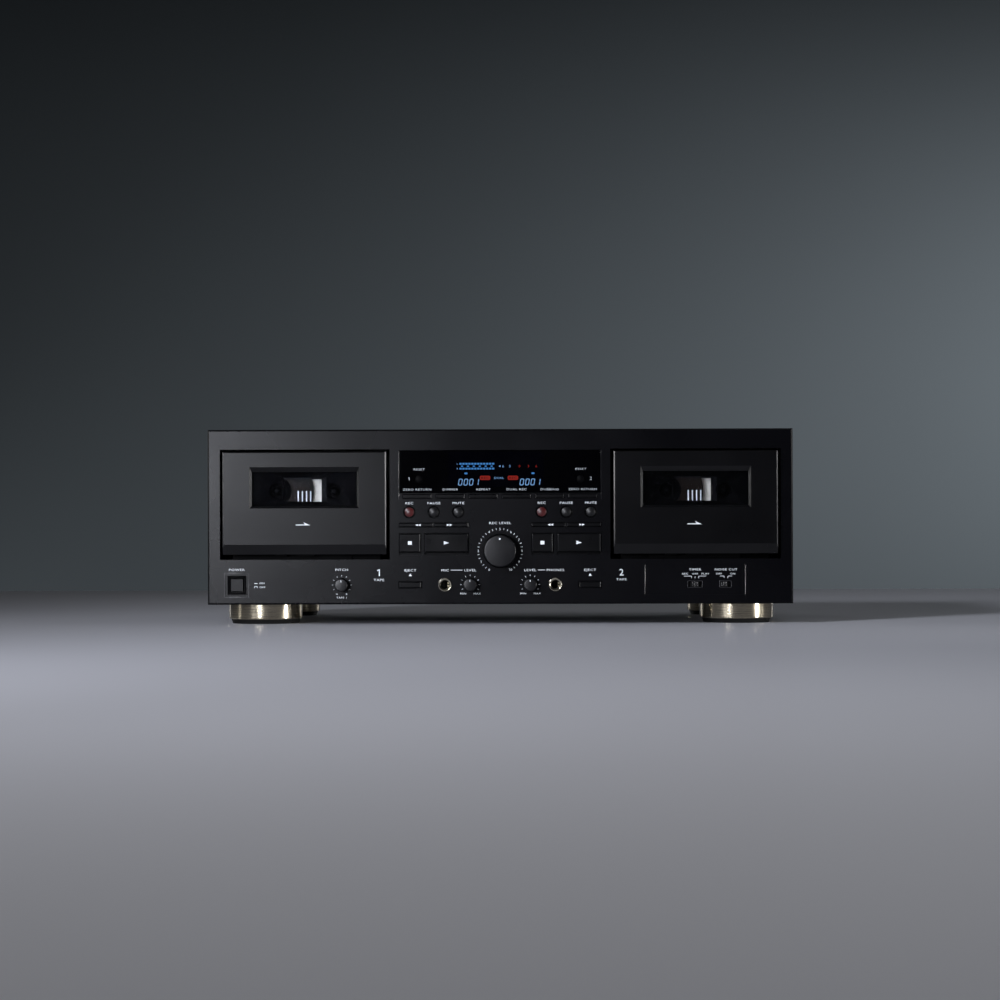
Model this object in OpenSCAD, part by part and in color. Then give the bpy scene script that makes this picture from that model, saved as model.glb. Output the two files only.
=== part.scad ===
// Double cassette deck: a full-width hi-fi component with two cassette doors,
// a display, rows of keys, level knobs and round metal feet.
// +X is to the viewer's right, the front faces -Y, +Z is up, the deck stands on Z = 0.
// Heights named "_up" start at the front panel's lower edge.

/* [Case] */
// Width of the front panel
panel_w = 435; // [425:1:460]
// Height of the front panel
panel_h = 130; // [126:1:150]
// Thickness of the front panel
panel_t = 4; // [3.6:0.2:5]
// Bevel along the front panel's edges
panel_bevel = 1.2; // [0.4:0.1:2]
// Depth from the front panel's face to the rear panel's outer face
case_d = 263; // [240:1:300]
// Thickness of the cover, chassis and rear panel sheet
sheet_t = 0.8; // [0.6:0.1:2]
// How far the cover lies inside the front panel's outline
cover_inset = 2.2; // [2:0.1:4]
// Height of the chassis side flanges
flange_h = 24; // [20:1:34]
// Height of the chassis front and rear flanges
end_flange_h = 7; // [6:0.5:8]
// Height of the cover's rear lip
lip_h = 12; // [9:1:20]
// Length of a vent slot in the cover
vent_l = 42; // [20:1:60]
// Width of a vent slot
vent_w = 3; // [2:0.5:4]
// Number of vent slots in the cover
vent_count = 14; // [4:1:18]

/* [Feet] */
// Height of a foot
foot_h = 15; // [11:0.5:20]
// Diameter of a foot's metal ring
foot_d = 55.5; // [48:0.5:60]
// Wall of a foot's metal ring
ring_wall = 3; // [2:0.5:5]
// Height of the black pad under the metal ring
pad_h = 3.4; // [2:0.2:5]
// Distance of a foot's middle from the front panel's side edge
foot_edge = 39.5; // [36:0.5:60]
// Distance of the front feet's middle behind the front panel's face
foot_front = 42; // [36:1:60]
// Distance of the rear feet's middle in front of the rear panel's face
foot_rear = 40; // [36:1:60]

/* [Cassette doors] */
// Distance between the display window and a door's opening
display_side = 7.2; // [6:0.1:10]
// Width of a door
door_w = 121.4; // [118:0.2:122]
// Height of a door
door_h = 76.2; // [74:0.2:78]
// Height of a door's lower edge
door_up = 37.3; // [36.5:0.1:38.5]
// How far a door stands out from the front panel
door_proud = 5; // [4:0.2:6]
// Thickness of a door
door_t = 4; // [3.6:0.2:5]
// Gap beside a door
door_gap = 2.5; // [1.5:0.1:3]
// Gap above a door
door_gap_top = 1.8; // [1.4:0.1:3]
// Gap below a door, which the lower edge turns through
door_gap_low = 4; // [3.6:0.1:5]
// Height of the slanted band along a door's lower edge
door_band = 7.3; // [4:0.1:10]
// Width of a door window's frame
window_w = 81.8; // [70:0.2:84]
// Height of a door window's frame
window_h = 30.7; // [24:0.1:33]
// Height of the window frame's lower edge above the door's lower edge
window_up = 34.2; // [30:0.1:38]
// Bevel beside and below the window
window_bevel = 1.8; // [1:0.1:3]
// Bevel above the window
window_bevel_top = 3.6; // [1:0.1:5]

/* [Cassette bay] */
// Width of the cassette that a holder takes
cassette_w = 100.4; // [100:0.1:101]
// Height of the cassette
cassette_h = 63.8; // [63:0.1:64]
// Thickness of the cassette at its nose
cassette_t = 12; // [11.6:0.1:12.4]
// Distance between the cassette's two hubs
hub_pitch = 42.5; // [42:0.1:43]
// Height of the hubs above the cassette's lower edge
hub_rise = 34.5; // [34:0.1:35]
// Height of the hubs above the front panel's lower edge
hub_up = 84.5; // [84:0.1:85]
// Room between the cassette and its holder
cassette_fit = 0.5; // [0.3:0.1:0.8]
// Wall of the cassette holder
holder_wall = 1.6; // [1.2:0.1:2]
// Radius of a door's hinge pins
hinge_r = 2; // [1.5:0.1:2.4]
// Radius of a spindle's shaft
spindle_r = 2; // [1.5:0.1:2.5]
// Radius of a capstan
capstan_r = 1.25; // [1:0.05:1.5]
// Radius of a flywheel
flywheel_r = 23; // [18:0.5:25]
// Radius of a pinch roller
pinch_r = 6; // [5:0.1:6.4]
// Rise of a head carriage when it plays
head_rise = 8; // [6:0.5:9]
// Running clearance round a shaft or pin
run_fit = 0.06; // [0.03:0.01:0.1]

/* [Display] */
// Width of the display window
display_w = 149.6; // [140:0.2:150]
// Height of the display window
display_h = 31.8; // [28:0.2:32]
// Height of the display window's lower edge
display_up = 82.7; // [82.4:0.1:84]
// How far the display window stands out
display_proud = 0.4; // [0.2:0.1:1]
// Width of the display tube
tube_w = 84; // [70:1:96]
// Height of the display tube
tube_h = 27; // [22:0.5:28]

/* [Keys] */
// Height of the row of slim keys under the display
strip_up = 80.2; // [80:0.1:80.4]
// Distance of the row's ends from the display window's ends
strip_inset = 2.65; // [2:0.05:6]
// Height of a slim key
strip_h = 3; // [2.4:0.1:3.2]
// Gap between the slim keys
strip_gap = 3.3; // [2.4:0.1:5]
// Height of the record, pause and mute buttons
round_up = 68.5; // [67.5:0.1:69.5]
// Radius of a round button
round_r = 3.4; // [2.6:0.1:3.6]
// Distance between the round buttons
round_pitch = 18.2; // [16:0.1:19]
// Height of the rewind and fast forward keys
wind_up = 58.9; // [58.4:0.1:59.4]
// Width of a rewind or fast forward key
wind_w = 25.2; // [22:0.1:25.4]
// Height of a rewind or fast forward key
wind_h = 2.8; // [2.4:0.1:3.2]
// Gap between the rewind and fast forward keys
wind_gap = 1; // [0.9:0.1:1.4]
// Height of the stop and play keys
play_up = 45.6; // [45:0.1:46]
// Width of a stop key
stop_w = 15.1; // [12:0.1:15.4]
// Width of a play key
play_w = 31.7; // [26:0.1:32]
// Height of a stop or play key
play_h = 13.3; // [11:0.1:13.6]
// Gap between the stop and play keys
play_gap = 3.8; // [3.4:0.1:4.4]
// Distance of an eject key's end from below the display window's end
eject_inset = 0.1; // [0:0.1:4]
// Width of an eject key
eject_w = 15.8; // [13:0.1:16.4]
// Height of an eject key
eject_h = 4.2; // [3.4:0.1:4.8]
// Distance of a counter reset button from the display window's end
reset_edge = 14.8; // [10:0.1:20]
// Height of the counter reset buttons
reset_up = 92.9; // [92:0.1:96]
// Radius of a counter reset button
reset_r = 3; // [2.4:0.1:3.2]
// Side of the power button
power_size = 9.8; // [8:0.1:10.4]
// Distance of the power button from the front panel's side edge
power_edge = 21.6; // [20:0.1:24]
// Travel of a key
key_travel = 1; // [0.6:0.1:1.4]
// Travel of the power button between its two positions
power_travel = 3.5; // [2.5:0.1:4]
// Gap between a key and its hole
key_fit = 0.3; // [0.2:0.05:0.4]

/* [Knobs, jacks and switches] */
// Height of the lowest row of controls
row_up = 14.5; // [14:0.1:15]
// Radius of the record level knob
level_r = 12.8; // [10:0.1:13.4]
// Height of the record level knob
level_up = 39.6; // [39:0.1:41]
// How far the record level knob stands out
level_reach = 14; // [12.5:0.5:16]
// Radius of a small knob
knob_r = 5.2; // [4.2:0.1:5.6]
// How far a small knob stands out
knob_reach = 10; // [8:0.5:12]
// Distance of the pitch knob from the front panel's side edge
pitch_edge = 99.7; // [90:0.1:104]
// Distance of the mic and phones level knobs from the deck's middle
knob_x = 22.3; // [20:0.1:24]
// Radius of a knob's shaft
shaft_r = 3; // [2:0.1:3.2]
// Distance of the mic and phones jacks from the deck's middle
jack_x = 41; // [39.5:0.1:42]
// Radius of a jack's bore
jack_r = 3.25; // [3.2:0.01:3.3]
// Radius of a jack's metal ring
jack_ring = 5.1; // [4.8:0.1:5.6]
// Depth of a jack's bore behind the panel's face
jack_depth = 28; // [24:1:32]
// Distance of the timer switch from the front panel's side edge
timer_edge = 72.8; // [70:0.1:80]
// Distance of the noise reduction switch from the front panel's side edge
noise_edge = 51.3; // [46:0.1:54]
// Width of a slide switch's cap
slider_w = 5.4; // [4.6:0.1:6]
// Height of a slide switch's cap
slider_h = 3.8; // [3:0.1:4.4]
// Step between a slide switch's positions
slider_step = 2.15; // [1.8:0.05:2.4]

/* [Rear] */
// Radius of a line socket's sleeve
socket_r = 4.15; // [3.8:0.05:4.4]
// How far a line socket stands out from the rear panel
socket_reach = 9; // [7:0.5:11]
// Distance between line sockets
socket_pitch = 18; // [15:0.5:22]
// Distance of the deck 1 sockets from the deck's middle
socket_x = 120; // [90:1:150]
// Radius of the mains cord gland's bore
gland_r = 3.6; // [3:0.1:4.4]

/* [Hidden] */
$fn = 64;
eps = 0.5;
DECKS = [1, 2];
SLIM_KEYS = ["return_to_zero_button_1", "dimmer_button", "repeat_button",
             "parallel_rec_button", "dub_start_button", "return_to_zero_button_2"];
KNOBS = ["rec_level_knob", "mic_level_knob", "phones_level_knob", "pitch_knob"];
DECK_NODES = ["door", "door_window", "cassette_holder", "supply_spindle", "take_up_spindle", "flywheel",
              "head_carriage", "pinch_roller", "record_button", "pause_button", "rec_mute_button",
              "rewind_button", "fast_forward_button", "stop_button", "play_button", "eject_button",
              "counter_reset_button"];

// Colours as the photo shows them
black_panel = "#2b2c30";
black_metal = "#1d1e20";
black_key = "#323338";
dark_plastic = "#17181a";
champagne = "#b9ae98";
steel = "#b8babd";
red_key = "#8a2f33";
glass_black = "#08090c";
clear_smoke = "#3a3d42";
board_green = "#2f5a3c";
copper = "#9a6a3a";

// Depths: Y is measured from the front panel's face inside place()
face_y = level_reach - (level_reach + case_d + socket_reach) / 2;
door_back = door_t - door_proud;
bay_gap = 3;
bay_front = door_back + bay_gap;
bay_back = bay_front + cassette_t;
plate_gap = 1;
plate_y = bay_back + plate_gap;
plate_t = 1.5;
board_y = 16;
board_t = 1.6;
solder_gap = 0.05;
parts_y = board_y - solder_gap;
web_t = 1.4;
pocket_d = panel_t - web_t;

// Heights above the floor
base_z = foot_h;
top_z = foot_h + panel_h;
row_z = base_z + row_up;
door_z = base_z + door_up;
hub_z = base_z + hub_up;
cassette_z = hub_z - hub_rise;
pivot_y = door_back + 5;
pivot_z = door_z + 4.7;
floor_z = base_z + sheet_t;
cover_top = top_z - cover_inset;

// Widths
cover_half = panel_w / 2 - cover_inset;
sheet_fit = 0.1;
inner_half = cover_half - sheet_t - sheet_fit;
opening_w = door_w + 2 * door_gap;
door_x = display_w / 2 + display_side + opening_w / 2;
opening_z = door_z - door_gap_low;
opening_h = door_h + door_gap_low + door_gap_top;
holder_in = cassette_w / 2 + cassette_fit;
holder_out = holder_in + holder_wall;
rest_t = 2.6;
ear_gap = 0.4;
ear_t = 2.5;
ear_in = holder_out + ear_gap;
ear_out = ear_in + ear_t;
ear_r = hinge_r + 1.5;
foot_x = panel_w / 2 - foot_edge;
power_x = panel_w / 2 - power_edge;
pitch_x = panel_w / 2 - pitch_edge;
timer_x = panel_w / 2 - timer_edge;
noise_x = panel_w / 2 - noise_edge;
strip_w = (display_w - 2 * strip_inset - 5 * strip_gap) / 6;
strip_pitch = strip_w + strip_gap;
group_x = 2 * strip_pitch;
eject_x = (display_w - eject_w) / 2 - eject_inset;
reset_x = display_w / 2 - reset_edge;

// Keys
key_lip = 0.8;
key_lip_t = 1.2;
key_lip_y = panel_t + 0.2;
switch_y = 11.5;
press_gap = 0.1;
stem_end = switch_y - key_travel - press_gap;
stem_size = 2.2;
key_bevel = 0.5;
strip_proud = 1.2;
wind_proud = 1.2;
wind_lip = wind_gap / 3;
play_proud = 2.2;
eject_proud = 1.8;
round_proud = 2.4;
reset_proud = 0.6;
power_in = 1.4;
pocket_gap = 0.5;
play_pocket_low = 2.4;
play_span = stop_w + play_gap + play_w;
power_frame = 18;
power_frame_d = 0.9;
power_pocket = 14;
power_switch = 12;
power_switch_y = panel_t + power_travel + 5;

// Transport
capstan_x = 18.5;
capstan_up = 9.5;
capstan_z = cassette_z + capstan_up;
pinch_gap = 0.5;
pinch_z = capstan_z - capstan_r - pinch_gap - pinch_r - head_rise;
pinch_pin_r = 1.2;
bush_r = 4.5;
bush_l = 9;
bush_end = plate_y + bush_l;
spindle_flange_r = 8;
spindle_flange_t = 1.9;
spindle_core_r = 2.9;
spindle_fin_r = 3.9;
spindle_tip = bay_front + 3;
side_gap = 0.3;
reel_gear_r = 10;
reel_gear_t = 2.5;
flywheel_gap = 5;
flywheel_y = bush_end + flywheel_gap;
flywheel_t = 8;
bridge_gap = 7;
bridge_y = flywheel_y + flywheel_t + bridge_gap;
bridge_t = 2;
bridge_h = 36;
leg_d = 14;
motor_x = -30;
motor_r = 16;
motor_l = 24;
pulley_r = 4;
pulley_t = 6;
belt_t = 1;
belt_w = 3;
carriage_w = 68;
carriage_t = 2.2;
carriage_y = plate_y - 0.4 - carriage_t;
carriage_z = pivot_z - 9;
carriage_h = pinch_z + 2.5 - carriage_z;
head_top = cassette_z - 1;

// Front wiring
pot_size = 12;
pot_y = panel_t + 1;
shaft_end = board_y - 2.4;
board_low = base_z + 5;
board_strip_h = 24;
board_top = base_z + display_up + display_h - 1;
board_left = power_x + 15;
board_right = noise_x + 24.7;
window_flange = 2;
window_flange_t = 0.8;
boss_r = 2.2;
boss_gap = 0.4;
boss_x = display_w / 2 + window_flange + boss_gap + boss_r;
board_half = boss_x + boss_r + boss_gap;
boss_low = end_flange_h + boss_r + 1;
boss_side = level_up;
boss_top = display_up + display_h / 2;
boss_mid = (round_up + strip_up) / 2;
BOSSES = concat([for (x = [-boss_x, boss_x], up = [boss_side, boss_top]) [x, up]],
                [[0, boss_mid]],
                [for (x = [-(power_x + pitch_x) / 2, -(pitch_x + eject_x) / 2, (eject_x + timer_x) / 2,
                           board_right - 2 * boss_r]) [x, boss_low]]);
jack_body = 12;
jack_sleeve_r = jack_r + 1.1;
jack_lip = 1.3;
slot_fit = 0.3;
slider_y = 0.7;
slider_base_t = 1.8;
slider_body_w = 16;
slider_body_h = 9;
insert_w = 74.6;
insert_h = 22.4;
insert_d = 0.5;
insert_up = 18;

// Rear fittings
screw_r = 1.45;
screw_hole = 1.55;
screw_head_r = 3.2;
screw_head_h = 1.7;
socket_body = 12;
socket_pin_r = 1.65;
socket_up = 48;
gland_x = -168;
gland_up = 30;
gland_wall = 2.4;
gland_flange_r = 8;
gland_flange_t = 2;
gland_tail = 7;
standoff_h = 8;
standoff_r = 3;
main_w = 300;
main_d = 104;
main_gap = 14;
main_z = floor_z + standoff_h;
standoff_in = 8;
core_x = 14;
core_y = 12;
core_w = 62;
core_d = 50;
core_h = 52;
coil_w = 42;
coil_d = 8;
coil_h = 34;
capacitor_x = 100;
capacitor_y = 30;
capacitor_pitch = 24;
capacitor_r = 8;
capacitor_h = 26;
sink_x = 180;
sink_y = 24;
sink_h = 30;
fin_t = 2;
fin_d = 14;
fin_pitch = 8;
plug_x = 246;
plug_y = 14;
plug_w = 34;
plug_d = 12;
plug_h = 4;
plug_pitch = 22;
STANDOFFS = [for (x = [-1, 1], y = [standoff_in, main_d - standoff_in])
             [x * (main_w / 2 - standoff_in), case_d - main_gap - y]];
SIDE_SCREWS = [60, case_d - 50];
LIP_SCREWS = [-150, 0, 150];
foot_plug_h = foot_h - 2.5;
foot_seat_z = foot_plug_h - 5;
foot_screw_r = 1.9;
foot_recess_r = 7;
FEET = [for (x = [-foot_x, foot_x], y = [foot_front, case_d - foot_rear]) [x, y]];

// Lens behind a door's window frame
lens_w = window_w - 2 * window_bevel - 2 * sheet_fit;
lens_h = window_h - window_bevel - window_bevel_top - 2 * sheet_fit;
lens_z = door_z + window_up + window_bevel + (window_h - window_bevel - window_bevel_top) / 2;

function side(k) = k == 1 ? -1 : 1;
function deck_x(k) = side(k) * door_x;
function group(k) = side(k) * group_x;
function strip_x(i) = (i - 2.5) * strip_pitch;
function round_x(k, i) = group(k) + (i - 1) * round_pitch;
function wind_x(k, i) = group(k) + (i - 0.5) * (wind_w + wind_gap);
function stop_x(k) = group(k) - play_span / 2 + stop_w / 2;
function play_x(k) = group(k) + play_span / 2 - play_w / 2;
function spindle_x(k, i) = deck_x(k) + (i - 0.5) * hub_pitch;
function socket_place(k, i) = socket_x - (k - 1) * 3 * socket_pitch + i * socket_pitch / 2;
function knob_place(name) =
    name == "rec_level_knob" ? [0, base_z + level_up, level_r, level_reach] :
    name == "mic_level_knob" ? [-knob_x, row_z, knob_r, knob_reach] :
    name == "phones_level_knob" ? [knob_x, row_z, knob_r, knob_reach] :
    [-pitch_x, row_z, knob_r, knob_reach];

// Places a piece drawn from the front panel's face into the deck's own frame
module place() {
    translate([0, face_y, 0]) children();
}

// A box by its middle in X and Z, and its depth from y0 to y1
module block(x, z, w, h, y0, y1) {
    translate([x - w / 2, y0, z - h / 2]) cube([w, y1 - y0, h]);
}

// A round bar along Y
module rod(x, z, y0, y1, r) {
    translate([x, y1, z]) rotate([90, 0, 0]) cylinder(h = y1 - y0, r = r);
}

// A round bar along X
module rod_x(x0, x1, y, z, r) {
    translate([x0, y, z]) rotate([0, 90, 0]) cylinder(h = x1 - x0, r = r);
}

// An outline in Y and Z, drawn out from x0 to x1
module along_x(x0, x1, outline) {
    translate([x0, 0, 0]) rotate([90, 0, 90]) linear_extrude(x1 - x0) polygon(outline);
}

// A box whose front edges are bevelled, with its own bevel at the sides, below and above
module bevelled(x, z, w, h, y0, y1, beside, below, above, deep) {
    x0 = x - w / 2;
    x1 = x + w / 2;
    z0 = z - h / 2;
    z1 = z + h / 2;
    intersection() {
        along_x(x0, x1, [[y0, z0 + below], [y0, z1 - above], [y0 + deep, z1], [y1, z1], [y1, z0],
                         [y0 + deep, z0]]);
        translate([0, 0, z0]) linear_extrude(h)
            polygon([[x0 + beside, y0], [x1 - beside, y0], [x1, y0 + deep], [x1, y1], [x0, y1],
                     [x0, y0 + deep]]);
    }
}

// A flared cut that is widest at the front face, for a bevelled window frame
module flare(x, z, w, h, y0, beside, below, above, deep) {
    x0 = x - w / 2;
    x1 = x + w / 2;
    z0 = z - h / 2;
    z1 = z + h / 2;
    intersection() {
        along_x(x0, x1, [[y0 - eps, z0], [y0 - eps, z1], [y0, z1], [y0 + deep, z1 - above],
                         [y0 + deep, z0 + below], [y0, z0]]);
        translate([0, 0, z0]) linear_extrude(h)
            polygon([[x0, y0 - eps], [x1, y0 - eps], [x1, y0], [x1 - beside, y0 + deep],
                     [x0 + beside, y0 + deep], [x0, y0]]);
    }
}

// A hole right through the front panel for a key, and the wider pocket in front of it
module key_hole(x, z, w, h) {
    block(x, z, w + 2 * key_fit, h + 2 * key_fit, -eps, panel_t + eps);
}
module key_pocket(x, z, w, h) {
    block(x, z, w, h, -eps, pocket_d);
}

// A key: bevelled cap, a lip that keeps it behind the panel, and a stem to its switch
module key(x, z, w, h, proud, lip_x) {
    bevelled(x, z, w, h, -proud, key_lip_y + key_lip_t, key_bevel, key_bevel, key_bevel, key_bevel);
    block(x, z, w + 2 * lip_x, h + 2 * key_lip, key_lip_y, key_lip_y + key_lip_t);
    block(x, z, stem_size, stem_size, key_lip_y, stem_end);
}

// A round button with a domed face
module round_key(x, z, r, proud) {
    dome = 2.2 * r;
    intersection() {
        rod(x, z, -proud - eps, key_lip_y + key_lip_t, r);
        translate([x, dome - proud, z]) sphere(r = dome);
    }
    rod(x, z, key_lip_y, key_lip_y + key_lip_t, r + key_lip);
    block(x, z, stem_size, stem_size, key_lip_y, stem_end);
}

module front_panel() {
    color(black_panel) place() difference() {
        union() {
            bevelled(0, base_z + panel_h / 2, panel_w, panel_h, 0, panel_t,
                     panel_bevel, panel_bevel, panel_bevel, panel_bevel);
            for (p = BOSSES) rod(p[0], base_z + p[1], panel_t - eps, board_y, boss_r);
        }
        for (k = DECKS) {
            block(deck_x(k), opening_z + opening_h / 2, opening_w, opening_h, -eps, panel_t + eps);
            deck_key_cuts(k);
        }
        block(0, base_z + display_up + display_h / 2, display_w + 2 * sheet_fit, display_h + 2 * sheet_fit,
              -eps, panel_t + eps);
        for (i = [0 : 5]) key_hole(strip_x(i), base_z + strip_up, strip_w, strip_h);
        power_cut();
        for (name = KNOBS)
            rod(knob_place(name)[0], knob_place(name)[1], -eps, panel_t + eps, shaft_r + key_fit);
        for (s = [-1, 1]) rod(s * jack_x, row_z, -eps, panel_t + eps, jack_sleeve_r + sheet_fit);
        block(timer_x, base_z + insert_up, insert_w, insert_h, -eps, insert_d);
        slider_slot(timer_x, 2);
        slider_slot(noise_x + slider_step / 2, 1);
    }
}

module deck_key_cuts(k) {
    for (i = [0 : 2]) {
        rod(round_x(k, i), base_z + round_up, -eps, pocket_d, round_r + pocket_gap + key_fit / 2);
        rod(round_x(k, i), base_z + round_up, -eps, panel_t + eps, round_r + key_fit);
    }
    key_pocket(group(k), base_z + wind_up, 2 * wind_w + wind_gap + 2 * pocket_gap, wind_h + 2 * pocket_gap);
    for (i = [0, 1]) key_hole(wind_x(k, i), base_z + wind_up, wind_w, wind_h);
    play_pocket(stop_x(k), stop_w);
    play_pocket(play_x(k), play_w);
    key_hole(stop_x(k), base_z + play_up, stop_w, play_h);
    key_hole(play_x(k), base_z + play_up, play_w, play_h);
    key_pocket(side(k) * eject_x, row_z, eject_w + 4 * pocket_gap, eject_h + 2 * pocket_gap);
    key_hole(side(k) * eject_x, row_z, eject_w, eject_h);
}

module play_pocket(x, w) {
    key_pocket(x, base_z + play_up - play_pocket_low / 2 + pocket_gap / 2,
               w + 2 * pocket_gap, play_h + play_pocket_low + pocket_gap);
}

module power_cut() {
    block(-power_x, row_z, power_frame, power_frame, -eps, power_frame_d);
    block(-power_x, row_z, power_pocket, power_pocket, -eps, pocket_d);
    key_hole(-power_x, row_z, power_size, power_size);
}

module slider_slot(x, steps) {
    block(x, row_z, slider_w + steps * slider_step + 2 * slot_fit, slider_h + 2 * slot_fit,
          -eps, panel_t + eps);
}

module top_cover() {
    low = base_z + 2;
    mid = (low + cover_top) / 2;
    back = case_d + sheet_t;
    vent_x = -70;
    vent_pitch = 3 * vent_w;
    vent_end = case_d - 40;
    color(black_metal) place() difference() {
        union() {
            difference() {
                block(0, mid, 2 * cover_half, cover_top - low, panel_t, back);
                block(0, mid - sheet_t, 2 * (cover_half - sheet_t), cover_top - low,
                      panel_t - eps, back + eps);
            }
            block(0, cover_top - lip_h / 2, 2 * cover_half, lip_h, case_d, back);
        }
        for (i = [0 : vent_count - 1])
            block(vent_x + (i - (vent_count - 1) / 2) * vent_pitch, cover_top, vent_w, 4 * sheet_t,
                  vent_end - vent_l, vent_end);
        for (x = LIP_SCREWS) rod(x, cover_top - lip_h / 2, case_d - eps, back + eps, screw_hole);
        for (y = SIDE_SCREWS)
            rod_x(-cover_half - eps, cover_half + eps, y, base_z + flange_h / 2, screw_hole);
    }
}

module chassis() {
    back = case_d - sheet_t;
    color(steel) place() difference() {
        union() {
            block(0, base_z + sheet_t / 2, 2 * inner_half, sheet_t, panel_t, back);
            for (s = [-1, 1])
                block(s * (inner_half - sheet_t / 2), base_z + flange_h / 2, sheet_t, flange_h,
                      panel_t, back);
            block(0, base_z + end_flange_h / 2, 2 * inner_half, end_flange_h, panel_t, panel_t + sheet_t);
            block(0, base_z + end_flange_h, 2 * inner_half, 2 * end_flange_h, back - sheet_t, back);
            for (p = STANDOFFS) translate([p[0], p[1], base_z])
                cylinder(h = sheet_t + standoff_h, r = standoff_r);
        }
        for (p = FEET) translate([p[0], p[1], base_z - eps])
            cylinder(h = sheet_t + 2 * eps, r = foot_screw_r + run_fit);
        for (y = SIDE_SCREWS)
            rod_x(-inner_half - eps, inner_half + eps, y, base_z + flange_h / 2, screw_hole);
        for (x = LIP_SCREWS) rod(x, base_z + end_flange_h, back - sheet_t - eps, back + eps, screw_hole);
    }
}

module rear_panel() {
    low = base_z + 4 * sheet_fit;
    high = cover_top - sheet_t - sheet_fit;
    inside = case_d - sheet_t;
    color(black_metal) place() difference() {
        block(0, (low + high) / 2, 2 * inner_half, high - low, inside, case_d);
        for (x = LIP_SCREWS, z = [cover_top - lip_h / 2, base_z + end_flange_h])
            rod(x, z, inside - eps, case_d + eps, screw_hole);
        for (k = DECKS, i = [-1, 1], j = [-1, 1])
            rod(socket_place(k, i), base_z + socket_up + j * socket_pitch / 2, inside - eps, case_d + eps,
                socket_r + sheet_fit);
        rod(gland_x, base_z + gland_up, inside - eps, case_d + eps, gland_r + gland_wall + sheet_fit);
    }
}

module foot_rings() {
    r = foot_d / 2;
    hole = foot_screw_r + run_fit;
    low_bevel = 0.8;
    top_bevel = 0.6;
    color(champagne) place() for (p = FEET) translate([p[0], p[1], 0]) rotate_extrude($fn = 96)
        polygon([[hole, foot_plug_h], [r - ring_wall, foot_plug_h], [r - ring_wall, pad_h],
                 [r - low_bevel, pad_h], [r, pad_h + low_bevel], [r, foot_h - top_bevel],
                 [r - top_bevel, foot_h], [hole, foot_h]]);
}

module foot_pads() {
    r = foot_d / 2;
    inner = r - ring_wall - sheet_fit;
    hole = foot_screw_r + run_fit;
    tuck_low = 2.8;
    tuck_top = 1.6;
    color(dark_plastic) place() for (p = FEET) translate([p[0], p[1], 0]) rotate_extrude($fn = 96)
        polygon([[foot_recess_r, 0], [r - tuck_low, 0], [r - tuck_top, pad_h], [inner, pad_h],
                 [inner, foot_plug_h], [hole, foot_plug_h], [hole, foot_seat_z],
                 [foot_recess_r, foot_seat_z]]);
}

module display_window() {
    z = base_z + display_up + display_h / 2;
    back = panel_t + window_flange_t;
    edge = display_proud;
    color(glass_black) place() difference() {
        union() {
            bevelled(0, z, display_w, display_h, -display_proud, panel_t + eps, edge, edge, edge, edge);
            block(0, z + window_flange, display_w + 2 * window_flange, display_h, panel_t, back);
        }
        for (k = DECKS) {
            rod(side(k) * reset_x, base_z + reset_up, -eps - display_proud, back + eps, reset_r + key_fit);
            rod(side(k) * reset_x, base_z + reset_up, panel_t, back + eps, reset_r + key_lip + key_fit);
        }
    }
}

// Board behind the front panel with the display tube, switches and level controls
module control_board() {
    strip_mid = (board_right - board_left) / 2;
    place() {
        color(board_green) difference() {
            union() {
                block(0, (board_low + board_top) / 2, 2 * board_half, board_top - board_low,
                      board_y, board_y + board_t);
                block(strip_mid, board_low + board_strip_h / 2, board_right + board_left, board_strip_h,
                      board_y, board_y + board_t);
            }
            for (s = [-1, 1])
                block(s * jack_x, row_z, jack_body + 2 * key_fit, jack_body + 2 * key_fit,
                      board_y - eps, board_y + board_t + eps);
        }
        color(glass_black) display_tube();
        color(dark_plastic) {
            for (name = KNOBS) level_control(knob_place(name));
            for (i = [0 : 5]) push_switch(strip_x(i), base_z + strip_up);
            for (k = DECKS) {
                for (i = [0 : 2]) push_switch(round_x(k, i), base_z + round_up);
                for (i = [0, 1]) push_switch(wind_x(k, i), base_z + wind_up);
                push_switch(stop_x(k), base_z + play_up);
                push_switch(play_x(k), base_z + play_up);
                push_switch(side(k) * eject_x, row_z);
                push_switch(side(k) * reset_x, base_z + reset_up);
            }
            slide_body(timer_x);
            slide_body(noise_x + slider_step / 2);
            block(-power_x, row_z, power_switch, power_switch, power_switch_y, parts_y);
        }
    }
}

module display_tube() {
    z = base_z + display_up + display_h / 2 + 0.6;
    stand = 4;
    block(0, z, tube_w, tube_h, panel_t + 1, board_y - stand);
    block(0, z, tube_w - 2 * stand, tube_h - 2 * stand, board_y - stand, parts_y);
}

module level_control(place_of) {
    collar = 1.2;
    difference() {
        union() {
            block(place_of[0], place_of[1], pot_size, pot_size, pot_y, parts_y);
            rod(place_of[0], place_of[1], pot_y - collar / 2, pot_y + eps, shaft_r + collar);
        }
        rod(place_of[0], place_of[1], pot_y - collar, shaft_end + side_gap, shaft_r + run_fit);
    }
}

module push_switch(x, z) {
    plunger = 1;
    block(x, z, 6, 4.6, switch_y + plunger, parts_y);
    rod(x, z, switch_y, switch_y + plunger + eps, 1.2);
}

module slide_body(x) {
    block(x, row_z, slider_body_w, slider_body_h, panel_t + slider_base_t + 2 * side_gap, parts_y);
}

// Front jacks, rear line sockets and the mains cord's gland
module sockets() {
    color(steel) place() {
        for (s = [-1, 1]) jack(s * jack_x);
        for (k = DECKS) line_sockets(k);
        gland();
    }
}

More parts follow.
